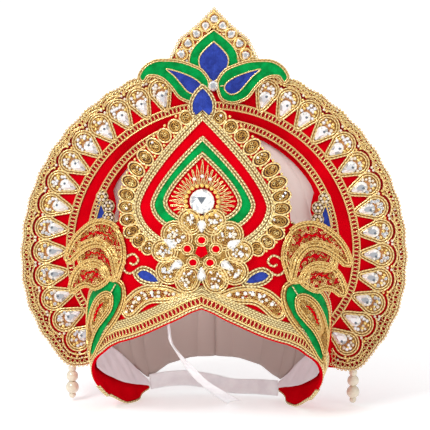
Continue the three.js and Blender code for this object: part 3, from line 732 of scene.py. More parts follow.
ribbonWide = 12
backStrapRoute = [
    {"at": (-49.9, 48.2, 12), "turn": 0},
    {"at": (-38, 55, 13), "turn": -3},
    {"at": (-22, 60, 13), "turn": -12},
    {"at": (-4, 62, 10.5), "turn": -20},
    {"at": (14, 61, 7), "turn": -26},
    {"at": (34, 57, 7.6), "turn": -22},
    {"at": (49.9, 48.2, 8.6), "turn": -6},
]
tieRoute = [
    {"at": (-26.2, -49.6, 84), "turn": 78},
    {"at": (-24.9, -49.8, 72.5), "turn": 78},
    {"at": (-23.7, -46.5, 61.9), "turn": 70},
    {"at": (-19.2, -38.5, 52.3), "turn": 60},
    {"at": (-13.5, -28.5, 42.2), "turn": 50},
    {"at": (-6.5, -16, 30.7), "turn": 42},
    {"at": (0.5, -2.5, 20.3), "turn": 38},
    {"at": (7.7, 11, 11.6), "turn": 38},
    {"at": (17.3, 24.5, 2.7), "turn": 38},
]


def ribbon(name, route, replaced):
    line = [p * mm for p in through([row["at"] for row in route], 1.5)]
    last = len(line) - 1

    def ribbonPoint(acrossShare, alongShare):
        steps = alongShare * last
        here = min(int(steps), last - 1)
        run = (line[min(here + 2, last)] - line[max(here - 1, 0)]).normalized()
        level = Vector((run.z, 0, -run.x)).normalized()
        place = alongShare * (len(route) - 1)
        row = min(int(place), len(route) - 2)
        turn = math.radians(mix(route[row]["turn"], route[row + 1]["turn"], place - row))
        across = Matrix.Rotation(turn, 3, run) @ level
        face = run.cross(across)
        side = acrossShare - 0.5
        cup = 0.9 * math.cos(side * math.pi) + 0.5 * math.sin(steps * 0.17 + side * 7)
        middle = line[here].lerp(line[here + 1], steps - here)
        return middle + across * side * ribbonWide * mm + face * cup * mm * 0.8

    made = clothGrid(8, last, ribbonPoint, ribbonSatin).piece(name, "ribbon", replaced)
    thicken(made, 0.3)


ribbon("backStrap", backStrapRoute, "back_strap")
ribbon("tieRibbon", tieRoute, "tie_ribbon")
print("ribbons")

# cloth

turnStops = [0]
for here, ahead in zip(wallSections, wallSections[1:]):
    parts = max(1, round((ahead["turn"] - here["turn"]) / 1.7))
    turnStops += [mix(here["turn"], ahead["turn"], (i + 1) / parts) for i in range(parts)]
turnStops = [-t for t in turnStops[:0:-1]] + turnStops
flapCorner = {"round": 8, "lift": 1.5, "turns": (82, 93, 94, 110)}


def flapEdge(turn):
    # the flaps' front corners are rounded, and from there on the edge is lifted a little
    starts, full, falls, ends = flapCorner["turns"]
    corner = smooth(abs(turn), starts, full) * (1 - smooth(abs(turn), falls, ends))
    lifted = smooth(abs(turn), starts + 2, falls)
    return wallEdge(turn, "low") + flapCorner["round"] * corner + flapCorner["lift"] * lifted


def wallCloth(share, up):
    turn = turnStops[round(share * (len(turnStops) - 1))]
    return wallPoint(turn, mix(flapEdge(turn), wallEdge(turn, "top"), up), front)


def flatArea(piece):
    return sum(face.area for face in piece.data.polygons)


wallStore = clothGrid(len(turnStops) - 1, 34, wallCloth, redSatin)
frontWall = wallStore.piece("frontWall", "red_cloth", "front_plate")
thicken(frontWall, 1.4, -1)


def liningCloth(share, up):
    turn = mix(-wallEnd, wallEnd, share)
    high = mix(wallEdge(turn, "lined"), wallEdge(turn, "top") + 0.3, smooth(abs(turn), 80, 92))
    height = mix(wallEdge(turn, "hem"), high, up)
    folds = noise.noise(Vector((turn * 0.22, up * 1.6, 2))) + 0.5 * math.sin(turn * 0.62)
    puff = 0.8 * folds * (0.3 + 0.7 * math.sin(math.pi * up))
    return wallPoint(turn, height, -2.9 - 0.9 * math.sin(math.pi * up) + puff)


liningStore = clothGrid(260, 16, liningCloth, whiteSatin)
liningSheet = liningStore.piece("liningSheet", "white_satin", "lining")
thicken(liningSheet, 0.4)

panelHem = [(0, 30.5), (0.2, 29.5), (0.4, 24.5), (0.52, 18.5), (0.61, 15.5), (0.72, 24),
            (0.86, 35), (1, 46)]


def hemAt(side):
    for here, ahead in zip(panelHem, panelHem[1:]):
        if side <= ahead[0]:
            return mix(here[1], ahead[1], (side - here[0]) / (ahead[0] - here[0]))
    return panelHem[-1][1]


def panelCloth(share, up):
    side = 2 * share - 1
    height = mix(hemAt(abs(side)), halo["z"] + 92, up)
    pleat = abs(math.sin(side * 17 + 0.8 * math.sin(side * 9))) ** 0.6 * (1 - up) ** 0.5
    seam = -0.6 * (1 - smooth(abs(side), 0, 0.02))
    puff = 1.2 * noise.noise(Vector((side * 6, up * 3, 7)))
    return panelPoint(side, height, (1.8 * pleat + puff + seam) * smooth(1 - abs(side), 0, 0.06))


# the inner face carries the painted shade, the rear face plain white satin
backStore = clothGrid(240, 60, panelCloth, shadedBackSatin)
backStore.index(whiteSatin)
backSheet = backStore.piece("backSheet", "back_satin", "back_panel")
thicken(backSheet, 1.2)
backSheet.modifiers["thickness"].material_offset = 1

print("sheets", [round(v, 5) for v in (flatArea(liningSheet), flatArea(backSheet))])

finialSlope = [(0, 302), (5.2, 297), (11.6, 290.4), (18.6, 284.6), (26, 279), (30.6, 268)]


def haloOutline():
    outer = finialSlope + [ringPoint(halo["edge"], halo["drop"], d) for d in range(16, 125, 3)]
    outer += [(115.2, 34.4), (110, 29.5), (100, 29.2), (86, 30), (84.5, 47)]
    for degrees in range(122, 9, -4):
        lobe = 9 * smooth(degrees, 60, 70) * (1 - smooth(degrees, 82, 92))
        outer.append(ringPoint(halo["inner"] - lobe, 0, degrees, 0))
    outer.append((0, halo["z"] + halo["inner"]))
    return mirroredLoop(outer)


haloStore = Store(haloPoint)
addPatch(haloStore, haloOutline(), halo["board"] / 2, redSatin, cell=6)
haloCloth = haloStore.piece("haloCloth", "red_cloth", "halo_board")
thicken(haloCloth, halo["board"], -1)
print("cloth")

# gold work on the halo

def doubleCord(store, line, out, radius=0.62, closed=False, apart=1.42, look=zari):
    # two cords with a dark thread low between them: painted shade in the gap
    for side in (-1, 1):
        addCord(store, shifted(line, side * radius * apart, closed), out + radius, radius * 0.95,
                look, closed, hand=side)
    addCord(store, line, out + radius * 0.35, radius * 0.9, gapShadeThread, closed, sides=0)


def tangents(line):
    for i, here in enumerate(line):
        before, after = line[max(i - 1, 0)], line[min(i + 1, len(line) - 1)]
        yield here, math.atan2(after[1] - before[1], after[0] - before[0])


def repeatOn(store, line, out, mesh, material, wobble):
    # one small shape at every point of a line, its x along the line
    for here, angle in tangents(line):
        stud(store, mesh, material, here, out, angle + dice.uniform(-wobble, wobble))


def chain(store, line, out, width, pitch=3.0, cord=0.55):
    # open loops of cord across a darker red strip, painted shade of the red cloth seen through the loops,
    # held by a cord along each side
    addStrip(store, line, width, out + 0.12, shadedRed)
    for side in (-1, 1):
        addCord(store, shifted(line, side * (width / 2 - cord)), out + cord + 0.15, cord, thread)
    loop = loopMesh(width - 2.7 * cord, pitch - 0.15, 0.33)
    repeatOn(store, evenly(line, pitch), out + 0.45, loop, thread, 0.12)


coil = coilMesh(1.9, 0.46)
crumb = beadMesh(0.55, 1)
seedBead = beadMesh(0.85, 1)
smallPearl = beadMesh(1.25, 2)
picot = loopMesh(2.1, 1.9, 0.4)
tinyGem = gemMesh(1.5, 1.0, 6)
padGem = gemMesh(1.6, 1.3, 7)
wireRing = loopMesh(2.0, 1.6, 0.34, 7)


def bulk(store, outline, out, spacing, margin):
    # cuts of bullion strewn in an outline; one draw in two goes unused, to keep their order
    for spot in strewn(outline, spacing, margin):
        dice.random()
        stud(store, coil, bullion, spot, out, dice.uniform(0, math.pi))


def curls(store, outline, out, spacing=2.0, margin=0.7, shine=0.16, gap=0.0):
    # little rings of wire strewn in an outline, some with a crystal or a pearl in the middle
    for spot in strewn(outline, spacing, margin):
        if dice.random() < gap:
            continue
        seat = seatAt(store.place, *spot, out, dice.uniform(0, 3), dice.uniform(0.8, 1.15))
        store.add(wireRing, dice.choice((thread, bullion, bullion)), seat)
        draw = dice.random()
        if draw < shine:
            stud(store, tinyGem, crystal, spot, out + 0.6, draw * 20, 0.75)
        elif draw < 1.8 * shine:
            stud(store, crumb, pearl, spot, out + 0.7, 0, 1.5)


def spun(points, centre, degrees):
    # points given as (outwards, sideways) set round a centre, outwards along a clock angle
    angle = math.radians(degrees)
    return [Vector((centre[0] + r * math.sin(angle) + s * math.cos(angle),
                    centre[1] + r * math.cos(angle) - s * math.sin(angle)))
            for r, s in points]


def teardrop(tip, middle, radius, count=18, reach=125):
    points = [(tip, 0)]
    for i in range(count + 1):
        angle = math.radians(-reach + 2 * reach * i / count)
        points.append((middle + radius * math.cos(angle), radius * math.sin(angle)))
    return points


def dropGem(long, wide, height):
    # a pear-cut crystal, its point towards -x
    bm = shapeBmesh()
    bmesh.ops.create_cone(bm, cap_ends=True, segments=10, radius1=1, radius2=0.5, depth=1)
    top = [v for v in bm.verts if v.co.z > 0]
    bmesh.ops.rotate(bm, cent=(0, 0, 0), matrix=Matrix.Rotation(math.pi / 10, 3, "Z"), verts=top)
    for vertex in bm.verts:
        x, y, z = vertex.co
        pull = 1.75 if x < 0 else 1
        pinch = 1 - 0.5 * max(0, -x)
        vertex.co = Vector((x * pull * long / 2.75, y * pinch * wide / 2, (z + 0.5) * height)) * mm
    bmesh.ops.triangulate(bm, faces=[f for f in bm.faces if len(f.verts) == 4])
    return finished(bm, smoothFaces=False)


stoneRow = {"count": 14, "first": 19.3, "step": 8.15, "radius": 122.6, "drop": 4.5}
stoneNumbers = range(1, stoneRow["count"] + 1)
chainRing = {"base": 110.2, "drop": 3.5, "tuck": 5.5, "reach": 127}


def ringLine(base, drop, tuck, reach):
    # along the halo at one radius, from the left lower end to the right one
    count = round(2 * reach * math.radians(base) / 1.2)
    return [Vector(ringPoint(base, drop, mix(-reach, reach, i / count), tuck))
            for i in range(count + 1)]


def stoneDegrees(number):
    return stoneRow["first"] + stoneRow["step"] * (number - 1)


def stoneCentre(number):
    return ringPoint(stoneRow["radius"], stoneRow["drop"], stoneDegrees(number))


padDrop = teardrop(-9.8, 6.7, 8.0)
padInner = teardrop(-6.9, 6.5, 5.9)
pearGem = dropGem(13, 9.0, 2.8)
padBeads = [(8.6, 0.4), (6.6, 4.6), (6.8, -4.4), (11.3, -1.6), (11.0, 1.9), (9.3, 3.9), (9.5, -4.2),
            (4.2, 4.9), (4.4, -5.0), (8.7, 2.3), (8.9, -2.1)]
pads = Store(haloPoint)
stones = Store(haloPoint)
for number in stoneNumbers:
    for side in (-1, 1):
        degrees = side * stoneDegrees(number)
        x, z = stoneCentre(number)
        centre = (side * x, z)
        outline = through(spun(padDrop, centre, degrees), 1.3, True)
        addPatch(pads, through(spun(padInner, centre, degrees), 2, True), face + 0.45, rust, cell=9)
        doubleCord(pads, outline, face + 0.3, 0.68, True, 1.36, softCord)
        addCord(pads, through(spun(padInner, centre, degrees), 1.4, True), face + 0.8,
                0.42, bullion, True, sides=0)
        for r, s in padBeads:
            at = spun([(r + dice.uniform(-0.3, 0.3), s + dice.uniform(-0.3, 0.3))], centre, degrees)[0]
            if dice.random() < 0.4:
                stud(pads, padGem, crystal, at, face + 0.9, degrees)
            else:
                stud(pads, smallPearl, dice.choice((pearl, goldBead)), at, face + 1.2, 0,
                     dice.uniform(0.85, 1.2))
        gemAt, dark = spun([(1.3, 0), (2.4, 0.9)], centre, degrees)
        turn = math.radians(90 - degrees)
        stud(stones, pearGem, crystal, gemAt, face + 1.3, turn)
        # a tiny dark gem on each crystal's middle: painted dark reflection
        stud(stones, tinyGem, darkReflectionFacet, dark, face + 3.5, turn, 0.95)

chain(pads, ringLine(**chainRing), face, 6.3)
pads.piece("pads", "zari", "setting_row")
stoneNodes = [f"stone_{number:02d}_{side}" for number in stoneNumbers for side in ("right", "left")]
stones.piece("haloStones", "crystal", *stoneNodes)


def padArc(number, side, radius, low, high, step=6):
    arc = [(6.6 + radius * math.cos(math.radians(a)), radius * math.sin(math.radians(a)) * side)
           for a in range(low, high + 1, step)]
    x, z = stoneCentre(number)
    return spun(arc, (side * x, z), side * stoneDegrees(number))


lace = Store(haloPoint)
laceLoop = loopMesh(3.5, 3.0, 0.34)
laceRim = {"stands": 0.9, "scallop": 0.5, "strip": 7.2, "picots": 3.0, "loops": 3.7}
lowEnd = [(127.4, 51.3), (124.2, 46), (119.7, 39.9), (115, 34), (109.8, 30.4), (103, 29.9),
          (97, 30.8), (92.5, 33.4)]
finialField = [(1, 299), (12, 289), (20, 282), (28, 275), (32, 264), (20, 256), (18.6, 262),
               (17, 270), (10, 279), (0, 286)]
for side in (-1, 1):
    low = through(sided(lowEnd, side), 1.2)
    rim = []
    for degrees in range(16, 120):
        wave = math.cos(math.tau * (degrees - stoneRow["first"]) / stoneRow["step"])
        reach = laceRim["stands"] + laceRim["scallop"] * wave * smooth(degrees, 16, 22)
        rim.append(Vector(ringPoint(halo["edge"] + reach, halo["drop"], degrees)))
    rim = evenly(sided(rim, side) + low[1:], 1.2)
    addCord(lace, rim, face + 0.5, 0.6, zari)
    # darker red strips under the lace: painted shade of the red cloth
    addStrip(lace, shifted(rim, side * -0.5), 4.4, face - 0.5, shadedRed)
    addStrip(lace, evenly(shifted(rim, side * -4.2), 1.5), laceRim["strip"], face + 0.1, laceShadeRed)
    repeatOn(lace, evenly(shifted(rim, side * 1.5), laceRim["picots"]), face - 0.3, picot, thread, 0.4)
    repeatOn(lace, evenly(shifted(rim, side * -2.2), laceRim["loops"]), face + 0.2, laceLoop, thread, 0.25)
    within = [p + Vector((0.4 * math.sin(i * 0.9), 0.4 * math.cos(i * 0.9)))
              for i, p in enumerate(evenly(shifted(rim, side * -4.0), 1.2))]
    addCord(lace, within, face + 0.7, 0.44, softCord)
    for number in stoneNumbers:
        high = 128 if number == stoneRow["count"] else 51
        addCord(lace, padArc(number, side, 12.0, -51, high, 7), face + 0.8, 0.72, softCord)
        for angle in range(-45, high - 3, 16):
            spot = padArc(number, side, 14.5, angle, angle + 1)[0]
            if dice.random() < 0.75:
                stud(lace, laceLoop, thread, spot, face + 0.2, dice.uniform(0, 3))
            else:
                stud(lace, seedBead, dice.choice((pearl, goldBead)), spot, face + 0.9)
        for radial, sideways in ((11.2, 9.3), (14.4, 8.2), (14.4, 10.6)):
            x, z = stoneCentre(number)
            spot = spun([(radial + 0.4, side * sideways)], (side * x, z), side * stoneDegrees(number))[0]
            stud(lace, smallPearl, dice.choice((pearl, goldBead)), spot, face + 1.0, 0, 0.9)
    slope = evenly(sided(finialSlope[:-1] + [(31.5, 268), (35, 261)], side), 1.3)
    addCord(lace, shifted(slope, side * -0.9), face + 0.5, 0.6, zari)
    repeatOn(lace, evenly(slope, 2.8), face, picot, thread, 0.5)
    curls(lace, sided(finialField, side), face + 0.2, 2.4, 0.3, 0.08, 0.15)
settings = [(0, 294.6), (6.4, 289.6), (13.2, 283), (19.8, 275.6), (24.6, 267.4)]
settings += [(-x, z) for x, z in settings[1:]]
settingGem = dropGem(6.8, 6.0, 2.0)
for x, z in settings:
    for reach, radius, look in ((4.5, 0.62, thread), (3.5, 0.45, bullion)):
        circle = spun(circleLine(0, 0, reach, 16), (x, z), 0)
        addCord(lace, circle, face + 0.9, radius, look, True)
        if reach > 4:
            # a darker red under the setting: painted shade
            addPatch(lace, circle, face + 0.4, shadedRed, cell=9)
    stud(lace, settingGem, crystal, (x, z), face + 0.9, dice.uniform(0, 6))
stud(lace, beadMesh(1.6), goldBead, (0, 288.3), face + 1.2)
stud(lace, beadMesh(1.3), goldBead, (0, 300.4), face + 1.0)
lace.piece("lace", "zari", "halo_edging")

inner = Store(haloPoint)
braidRing = {"base": 94.4, "drop": 0, "tuck": 0, "reach": 121}
templeLeaf = [(91, 136), (90.6, 146), (88, 155.5), (84, 148), (81.5, 138), (86, 135.6)]
chain(inner, ringLine(**braidRing), face, 5.8)
for side in (-1, 1):
    leaf = through(sided(templeLeaf, side), 1.5, True)
    addPatch(inner, leaf, face + 0.2, blueSatin, 0.6, cell=20)
    addCord(inner, leaf, face + 0.6, 0.55, zari, True)
    for x, z in ((85.5, 158.5), (80.6, 151.5), (80.3, 142.5)):
        for at in circleLine(side * x, z, 2.7, 6):
            stud(inner, smallPearl, pearl, at, face + 1.2)
        stud(inner, smallPearl, goldBead, (side * x, z), face + 1.2)
        # a dark backing between the pearls: painted shade
        addPatch(inner, circleLine(side * x, z, 4.3, 8), face + 0.3, gapShadeBacking, cell=9)
        addCord(inner, circleLine(side * x, z, 4.5, 16), face + 0.6, 0.5, zari, True)
    edge = [ringPoint(halo["inner"] + 0.8, 0, degrees, 0) for degrees in range(0, 56, 2)]
    addCord(inner, sided(edge, side), face + 0.5, 0.4, redSatin)
inner.piece("innerChain", "zari", "inner_braid")
print("halo trim")

# the lotus of the finial

archHalf = through([(0, 286.2), (8.3, 280), (14.8, 273.6), (18.3, 267), (18.8, 260), (17.6, 254)],
                   1.2)
archInner = through([(9, 256), (10.6, 264.5), (9.6, 268.6), (5.6, 273.6), (0, 277.4)], 1.2)
arch = Store(haloPoint)
addPatch(arch, mirroredLoop(archHalf + archInner), face + 0.3, greenSatin, 0.6, cell=5)
addCord(arch, mirroredLine(archHalf), face + 0.9, 0.6, softCord)
arch.piece("lotusArch", "green_satin", "lotus_arch")

petalHalf = [(0, 277.4), (6.4, 271.8), (11.1, 265.2), (10.2, 257.2), (5.1, 250.8), (0, 246.4)]
petalLine = mirroredLoop(through(petalHalf, 1.2))
petal = Store(haloPoint)
addPatch(petal, petalLine, face + 0.9, blueSatin, 0.8)
addCord(petal, petalLine, face + 1.4, 0.62, softCord, True)
petal.piece("lotusPetal", "blue_satin", "lotus_petal")

leafLine = [(3.2, 247), (8.5, 255.2), (16.2, 259.2), (26.1, 262.3), (36, 263.2), (45.2, 262.5),
            (52.9, 258), (57.2, 250.8), (54.5, 246.2), (52, 248.4), (49.9, 251), (43.8, 251),
            (37.7, 248.1), (31.6, 242), (27.1, 236), (22.5, 233), (14.8, 230.8), (7.4, 233),
            (4.2, 238.4)]
leafBlue = [(36.1, 256.5), (26.2, 254.2), (16.2, 250.3), (9.8, 245.7), (8.8, 241), (13.3, 237.4),
            (19.4, 239.2), (24.7, 245), (30, 251.1)]
leafOut = face + 2.2
for side, name in handed:
    leaf = Store(haloPoint)
    outline = through(sided(leafLine, side), 1.2, True)
    blue = through(sided(leafBlue, side), 1.2, True)
    addPatch(leaf, outline, leafOut + 0.2, greenSatin, 0.7, cell=5)
    addPatch(leaf, blue, leafOut + 0.9, blueSatin, 0.5, cell=5)
    doubleCord(leaf, outline, leafOut, 0.54, True, 1.3, softCord)
    addCord(leaf, blue, leafOut + 1.2, 0.55, softCord, True)
    leaf.piece("lotusLeaf" + name.title(), "green_satin", "lotus_leaf_" + name)

lotusStone = Store(haloPoint)
stoneHeight = 243.7
stud(lotusStone, gemMesh(4, 2.6), crystal, (0, stoneHeight), leafOut + 0.6)
barLine = [(x, stoneHeight) for x in (-8.6, -7, -5.4)]
for side in (-1, 1):
    addCord(lotusStone, sided(barLine, side), leafOut + 1.3, 0.6, zari)
lotusStone.piece("lotusStone", "crystal", "lotus_stone")
print("lotus")

# gold work on the front

arcs = [0]  # the wall's length from the middle to each degree, above its curl
for degree in range(wallEnd):
    step = (wallPlan(degree + 1, 100) - wallPlan(degree, 100)).length
    arcs.append(arcs[-1] + step)


def arcOf(turn):
    here = min(int(abs(turn)), wallEnd - 1)
    return math.copysign(mix(arcs[here], arcs[here + 1], abs(turn) - here), turn)


def turnOf(arc):
    reach = abs(arc)
    here = min(max(i for i, length in enumerate(arcs) if length <= reach), wallEnd - 1)
    return math.copysign(here + (reach - arcs[here]) / (arcs[here + 1] - arcs[here]), arc)


def arcPoint(arc, height, out=0):
    # the wall by its length round from the middle, so that small shapes keep their size
    return wallPoint(turnOf(arc), height, out)


def arcLine(points, side):
    # points given as (turn, height), for arcPoint
    return [(side * arcOf(turn), z) for turn, z in points]


# half width, height of the widest place, tip, bottom, bulge of the shoulders
spades = {
    "border": (47.2, 162, 227.3, 131, 1.4),
    "leafOuter": (37.6, 164, 214.3, 141, 1.4),
    "leafInner": (24.6, 166, 197.8, 153, 1.4),
}


shoulder = 0.55  # the share of a spade's line that lies above its widest place


def spadeEdge(name, share):
    half, widest, tip, bottom, bulge = spades[name]
    if share < shoulder:
        rise = 1 - share / shoulder
        return (half * (1 - rise ** bulge), widest + (tip - widest) * rise)
    angle = (share - shoulder) / (1 - shoulder) * math.pi / 2
    return (half * math.cos(angle), widest - (widest - bottom) * math.sin(angle))


def spadeLine(name, reach, inset=0.0):
    half = evenly([Vector(spadeEdge(name, i / 60 * reach)) for i in range(61)], 1.2)
    moved = shifted(half, inset)
    moved[0] = Vector((0, half[0].y + inset * 1.45))
    return mirroredLine(moved)


def braid(store, lineAt, cords, shadeLines):
    # twisted cords side by side, with dark threads low between them as painted shade
    for inset, hand in cords:
        addCord(store, lineAt(inset), front + 0.8, 0.74, zari, hand=hand)
    for inset in shadeLines:
        addCord(store, lineAt(inset), front + 0.3, 0.72, gapShadeThread, sides=0)


border = Store(frontPoint)
borderRows = {"cords": ((-1.7, 1), (-0.3, -1), (1.7, 1), (3.1, -1)), "shadeLines": (-1.0, 0.7, 2.4)}
braid(border, lambda inset: spadeLine("border", 0.88, inset), **borderRows)
petalCentres = [(11.6, 226), (19.6, 219.6), (27.2, 213), (34.4, 205.2), (41.2, 196.7), (47.8, 188),
                (52.4, 178.6), (54.9, 169.2), (55.1, 160.4), (53.8, 151.4), (51.1, 143.4),
                (45.6, 137.2), (38.6, 132.6)]
row = [Vector(p) for p in petalCentres]
for side in (-1, 1):
    for i, (here, angle) in enumerate(tangents(row)):
        long, wide = (5.3, 4.9) if i < 3 else (7.0, 4.8)
        long *= 0.86 if i > 10 else 1
        axis = angle + math.pi / 2
        tilt = Matrix.Rotation(axis, 2)
        coilLine = sided([here + tilt @ p for p in circleLine(0, 0, long, 22, wide)], side)
        centre = Vector((side * here.x, here.y))
        outer, within = ([centre + (p - centre) * size for p in coilLine] for size in (0.95, 0.64))
        # a dark backing under the curls: painted shade in their gaps
        addPatch(border, outer, front + 0.3, gapShadeBacking, cell=9)
        addCord(border, outer, front + 0.8, 0.72, softCord, True)
        addCord(border, within, front + 0.7, 0.55, bullion, True)
        curls(border, within, front + 0.5, 1.9, 0.4, 0.06)
        if i:
            between = (row[i] + row[i - 1]) / 2
            for reach in (5.2, -4.8):
                spot = between + Vector((math.cos(axis), math.sin(axis))) * reach
                stud(border, smallPearl, goldBead, (side * spot.x, spot.y), front + 0.9, 0, 0.85)
border.piece("spadeBorder", "zari", "spade_border")

leafStore = Store(frontPoint)
outerLine = spadeLine("leafOuter", 0.9, -3.6)
innerLine = spadeLine("leafInner", 0.9, 3.2)
addPatch(leafStore, outerLine + innerLine[::-1], front + 0.3, greenSatin, 0.8)
doubleCord(leafStore, spadeLine("leafOuter", 0.93, -2.0), front + 0.2, 0.75, apart=1.25)
doubleCord(leafStore, spadeLine("leafInner", 0.96, 1.7), front + 0.4, 0.75, apart=1.25)
leafStore.piece("spadeLeaf", "green_satin", "spade_leaf")

burst = Store(frontPoint)
stoneAt = Vector((0, 166.6))
beadRing = 11.4
sun = {"rays": 40, "start": 12.2, "end": 32, "shortest": 14, "beads": 20}
fieldLine = spadeLine("leafInner", 1.0, -0.2)
addPatch(burst, fieldLine, front + 0.25, redSatin, cell=6)
for i in range(sun["rays"]):
    angle = math.tau * i / sun["rays"]
    direction = Vector((math.sin(angle), math.cos(angle)))
    reach = sun["start"]
    while reach < sun["end"] and inside(stoneAt + direction * (reach + 1.6), fieldLine):
        reach += 0.4
    if reach < sun["shortest"]:
        continue
    for lane in (-1, 1):
        line = []
        for k in range(9):
            t = k / 8
            wave = 0.5 * math.sin(t * 9 + i * 2.1 + lane)
            sideways = lane * (0.25 + 0.55 * math.sin(math.pi * min(1, 1.15 * t))) + wave * 0.5
            line.append(stoneAt + direction * mix(beadRing, reach, t)
                        + Vector((direction.y, -direction.x)) * sideways)
        addCord(burst, line, front + 0.7 + 0.25 * lane, 0.38, softCord)
    stud(burst, crumb, goldBead, stoneAt + direction * reach, front + 0.8)
sunBead = beadMesh(1.55)
for i in range(sun["beads"]):
    angle = math.tau * i / sun["beads"]
    spot = stoneAt + Vector((math.sin(angle), math.cos(angle))) * beadRing
    stud(burst, sunBead, yellowPearl, spot, front + 1.6)
for at in ((-5.5, 182.5), (5.5, 182.5), (0, 184.5)):
    stud(burst, tinyGem, crystal, at, front + 1.2)
burst.piece("sunRays", "zari", "sunburst")


def roundGem(radius, height, sides=16):
    # a round cut crystal in three tiers of facets
    bm = shapeBmesh()
    tiers = [(1.0, 0.0, 0), (0.98, 0.22, 0), (0.78, 0.66, 0.5), (0.46, 1.0, 0)]
    rows = []
    for reach, rise, offset in tiers:
        turns = [math.tau * (i + offset) / sides for i in range(sides)]
        rows.append([bm.verts.new((radius * reach * math.cos(a) * mm, radius * reach * math.sin(a) * mm,
                                   height * rise * mm)) for a in turns])
    for low, high in zip(rows, rows[1:]):
        for i in range(sides):
            j = (i + 1) % sides
            bm.faces.new((low[i], low[j], high[i]))
            bm.faces.new((low[j], high[j], high[i]))
    bm.faces.new(rows[-1])
    bm.faces.new(rows[0][::-1])
    return finished(bm, smoothFaces=False)


roundStone = Store(frontPoint)
stud(roundStone, roundGem(9, 4.6), crystal, stoneAt, front + 1.2)
# a grey V on the round crystal: painted dark reflection
paintedReflectionV = [(-3.1, 170.2), (0, 165.2), (3.1, 170.2)]
addPatch(roundStone, paintedReflectionV, front + 6.0, darkReflectionFacet, cell=9)
roundStone.piece("roundStone", "crystal", "round_stone")
print("spade")

bloom = Store(frontPoint)
lobes = [(8.7, 153.2, 6.8), (19.1, 142.9, 8.6), (27.5, 130.8, 7), (23.2, 116.3, 8), (10, 110.4, 7.7)]
heart = Vector((0, 131.1))
bloomOut = front + 1.4
bloomLine = []
for degrees in range(0, 360, 4):
    angle = math.radians(degrees)
    reach = 0.88 / math.hypot(math.sin(angle) / 33, math.cos(angle) / 26)
    bloomLine.append(heart + Vector((math.sin(angle), math.cos(angle))) * reach)
addPatch(bloom, bloomLine, bloomOut - 0.5, bullion, cell=6)
curls(bloom, circleLine(0, 130.6, 13.5, 24, 12.5), bloomOut, 2.0, 0.2, 0.0)
for side in (-1, 1):
    for x, z, radius in lobes:
        centre = Vector((side * x, z))
        away = (centre - heart).normalized()
        circle = [centre + p * radius * (1 + 0.42 * max(0, -p.dot(away)) ** 2)
                  for p in circleLine(0, 0, 1, 26)]
        addPatch(bloom, circle, bloomOut - 0.2, rust, cell=7)
        doubleCord(bloom, circle, bloomOut, 0.62, True, 1.5, softCord)
        small = [centre + (p - centre) * 0.73 for p in circle]
        addCord(bloom, small, bloomOut + 0.4, 0.5, deepCord, True)
        curls(bloom, small, bloomOut + 0.2, 2.0, 0.5, 0.2)
        for k in range(4):
            scatter = Vector((dice.uniform(-3, 3), dice.uniform(-3, 3)))
            shape, look = dice.choice(((smallPearl, pearl), (tinyGem, crystal)))
            stud(bloom, shape, look, centre + away * radius * 0.25 + scatter, bloomOut + 1.1, k)
    for x, z, degrees in ((21.2, 136.1, 62), (16.8, 121.6, 122)):
        spin = math.radians(270 - side * degrees)
        stud(bloom, dropGem(10.6, 6.4, 2.6), crystal, (side * x, z), bloomOut + 1.2, spin)
for z, degrees, long in ((150.3, 180, 9), (113.9, 0, 10.4)):
    spin = math.radians(270 - degrees)
    stud(bloom, dropGem(long, 6.6, 2.6), crystal, (0, z), bloomOut + 1.3, spin)
for x, z in ((0, 139.3), (9.9, 133), (-9.9, 133), (5.9, 123.3), (-5.9, 123.3)):
    doubleCord(bloom, circleLine(x, z, 3.7, 18, 3.5), bloomOut + 0.9, 0.55, True, 1.3, softCord)
    redSpot = circleLine(x, z, 3.1, 18, 2.9)
    addPatch(bloom, redSpot, bloomOut + 1.5, redSatin, 0.9, rim=1.2, cell=9)
star = []
for k in range(10):
    angle = math.radians(36 * k)
    star.append(heart + Vector((math.sin(angle), math.cos(angle))) * 4.6 * (1 if k % 2 else 0.82))
addPatch(bloom, star, bloomOut + 1.4, redSatin, 0.9, rim=1.2, cell=9)
bloom.piece("browFlower", "zari", "flower")

tip = Store(frontPoint)
tipLine = through([(0, 249.6), (4.6, 245.2), (8, 239.4), (8.9, 233.6), (6.9, 227.4), (0, 231.8)], 1.2)
addPatch(tip, mirroredLoop(tipLine), front + 2.4, blueSatin, 0.7)
tipCord = mirroredLine(tipLine[:-5])
doubleCord(tip, shifted(tipCord, -0.7), front + 2.4, 0.6)
addCord(tip, shifted(tipCord, -0.9), front + 1.2, 1.3, softCord)  # its padded edge
tip.piece("tipLeaf", "blue_satin", "tip_leaf")

bandRows = [row for row in wallSections if row["turn"] <= 91]
bandHalf = [(arcOf(row["turn"]), flapEdge(row["turn"])) for row in bandRows]


def bandInset(distance):
    half = through(bandHalf, 1.3)
    moved = shifted(half, distance)
    moved[0] = Vector((0, half[0].y + distance * 1.12))
    return mirroredLine(moved)


band = Store(arcPoint)
bandRows = {"cords": ((1.2, 1), (9.9, -1), (11.3, 1), (12.7, -1), (14.1, 1)),
            "shadeLines": (9.2, 12.0, 14.6)}
bandChain = {"width": 6.9, "pitch": 3.1, "cord": 0.58}
addCord(band, bandInset(0.2), front + 0.1, 0.9, redSatin)
braid(band, bandInset, **bandRows)
chain(band, bandInset(5.75), front + 0.1, **bandChain)
band.piece("bandBraid", "zari", "band_braid")

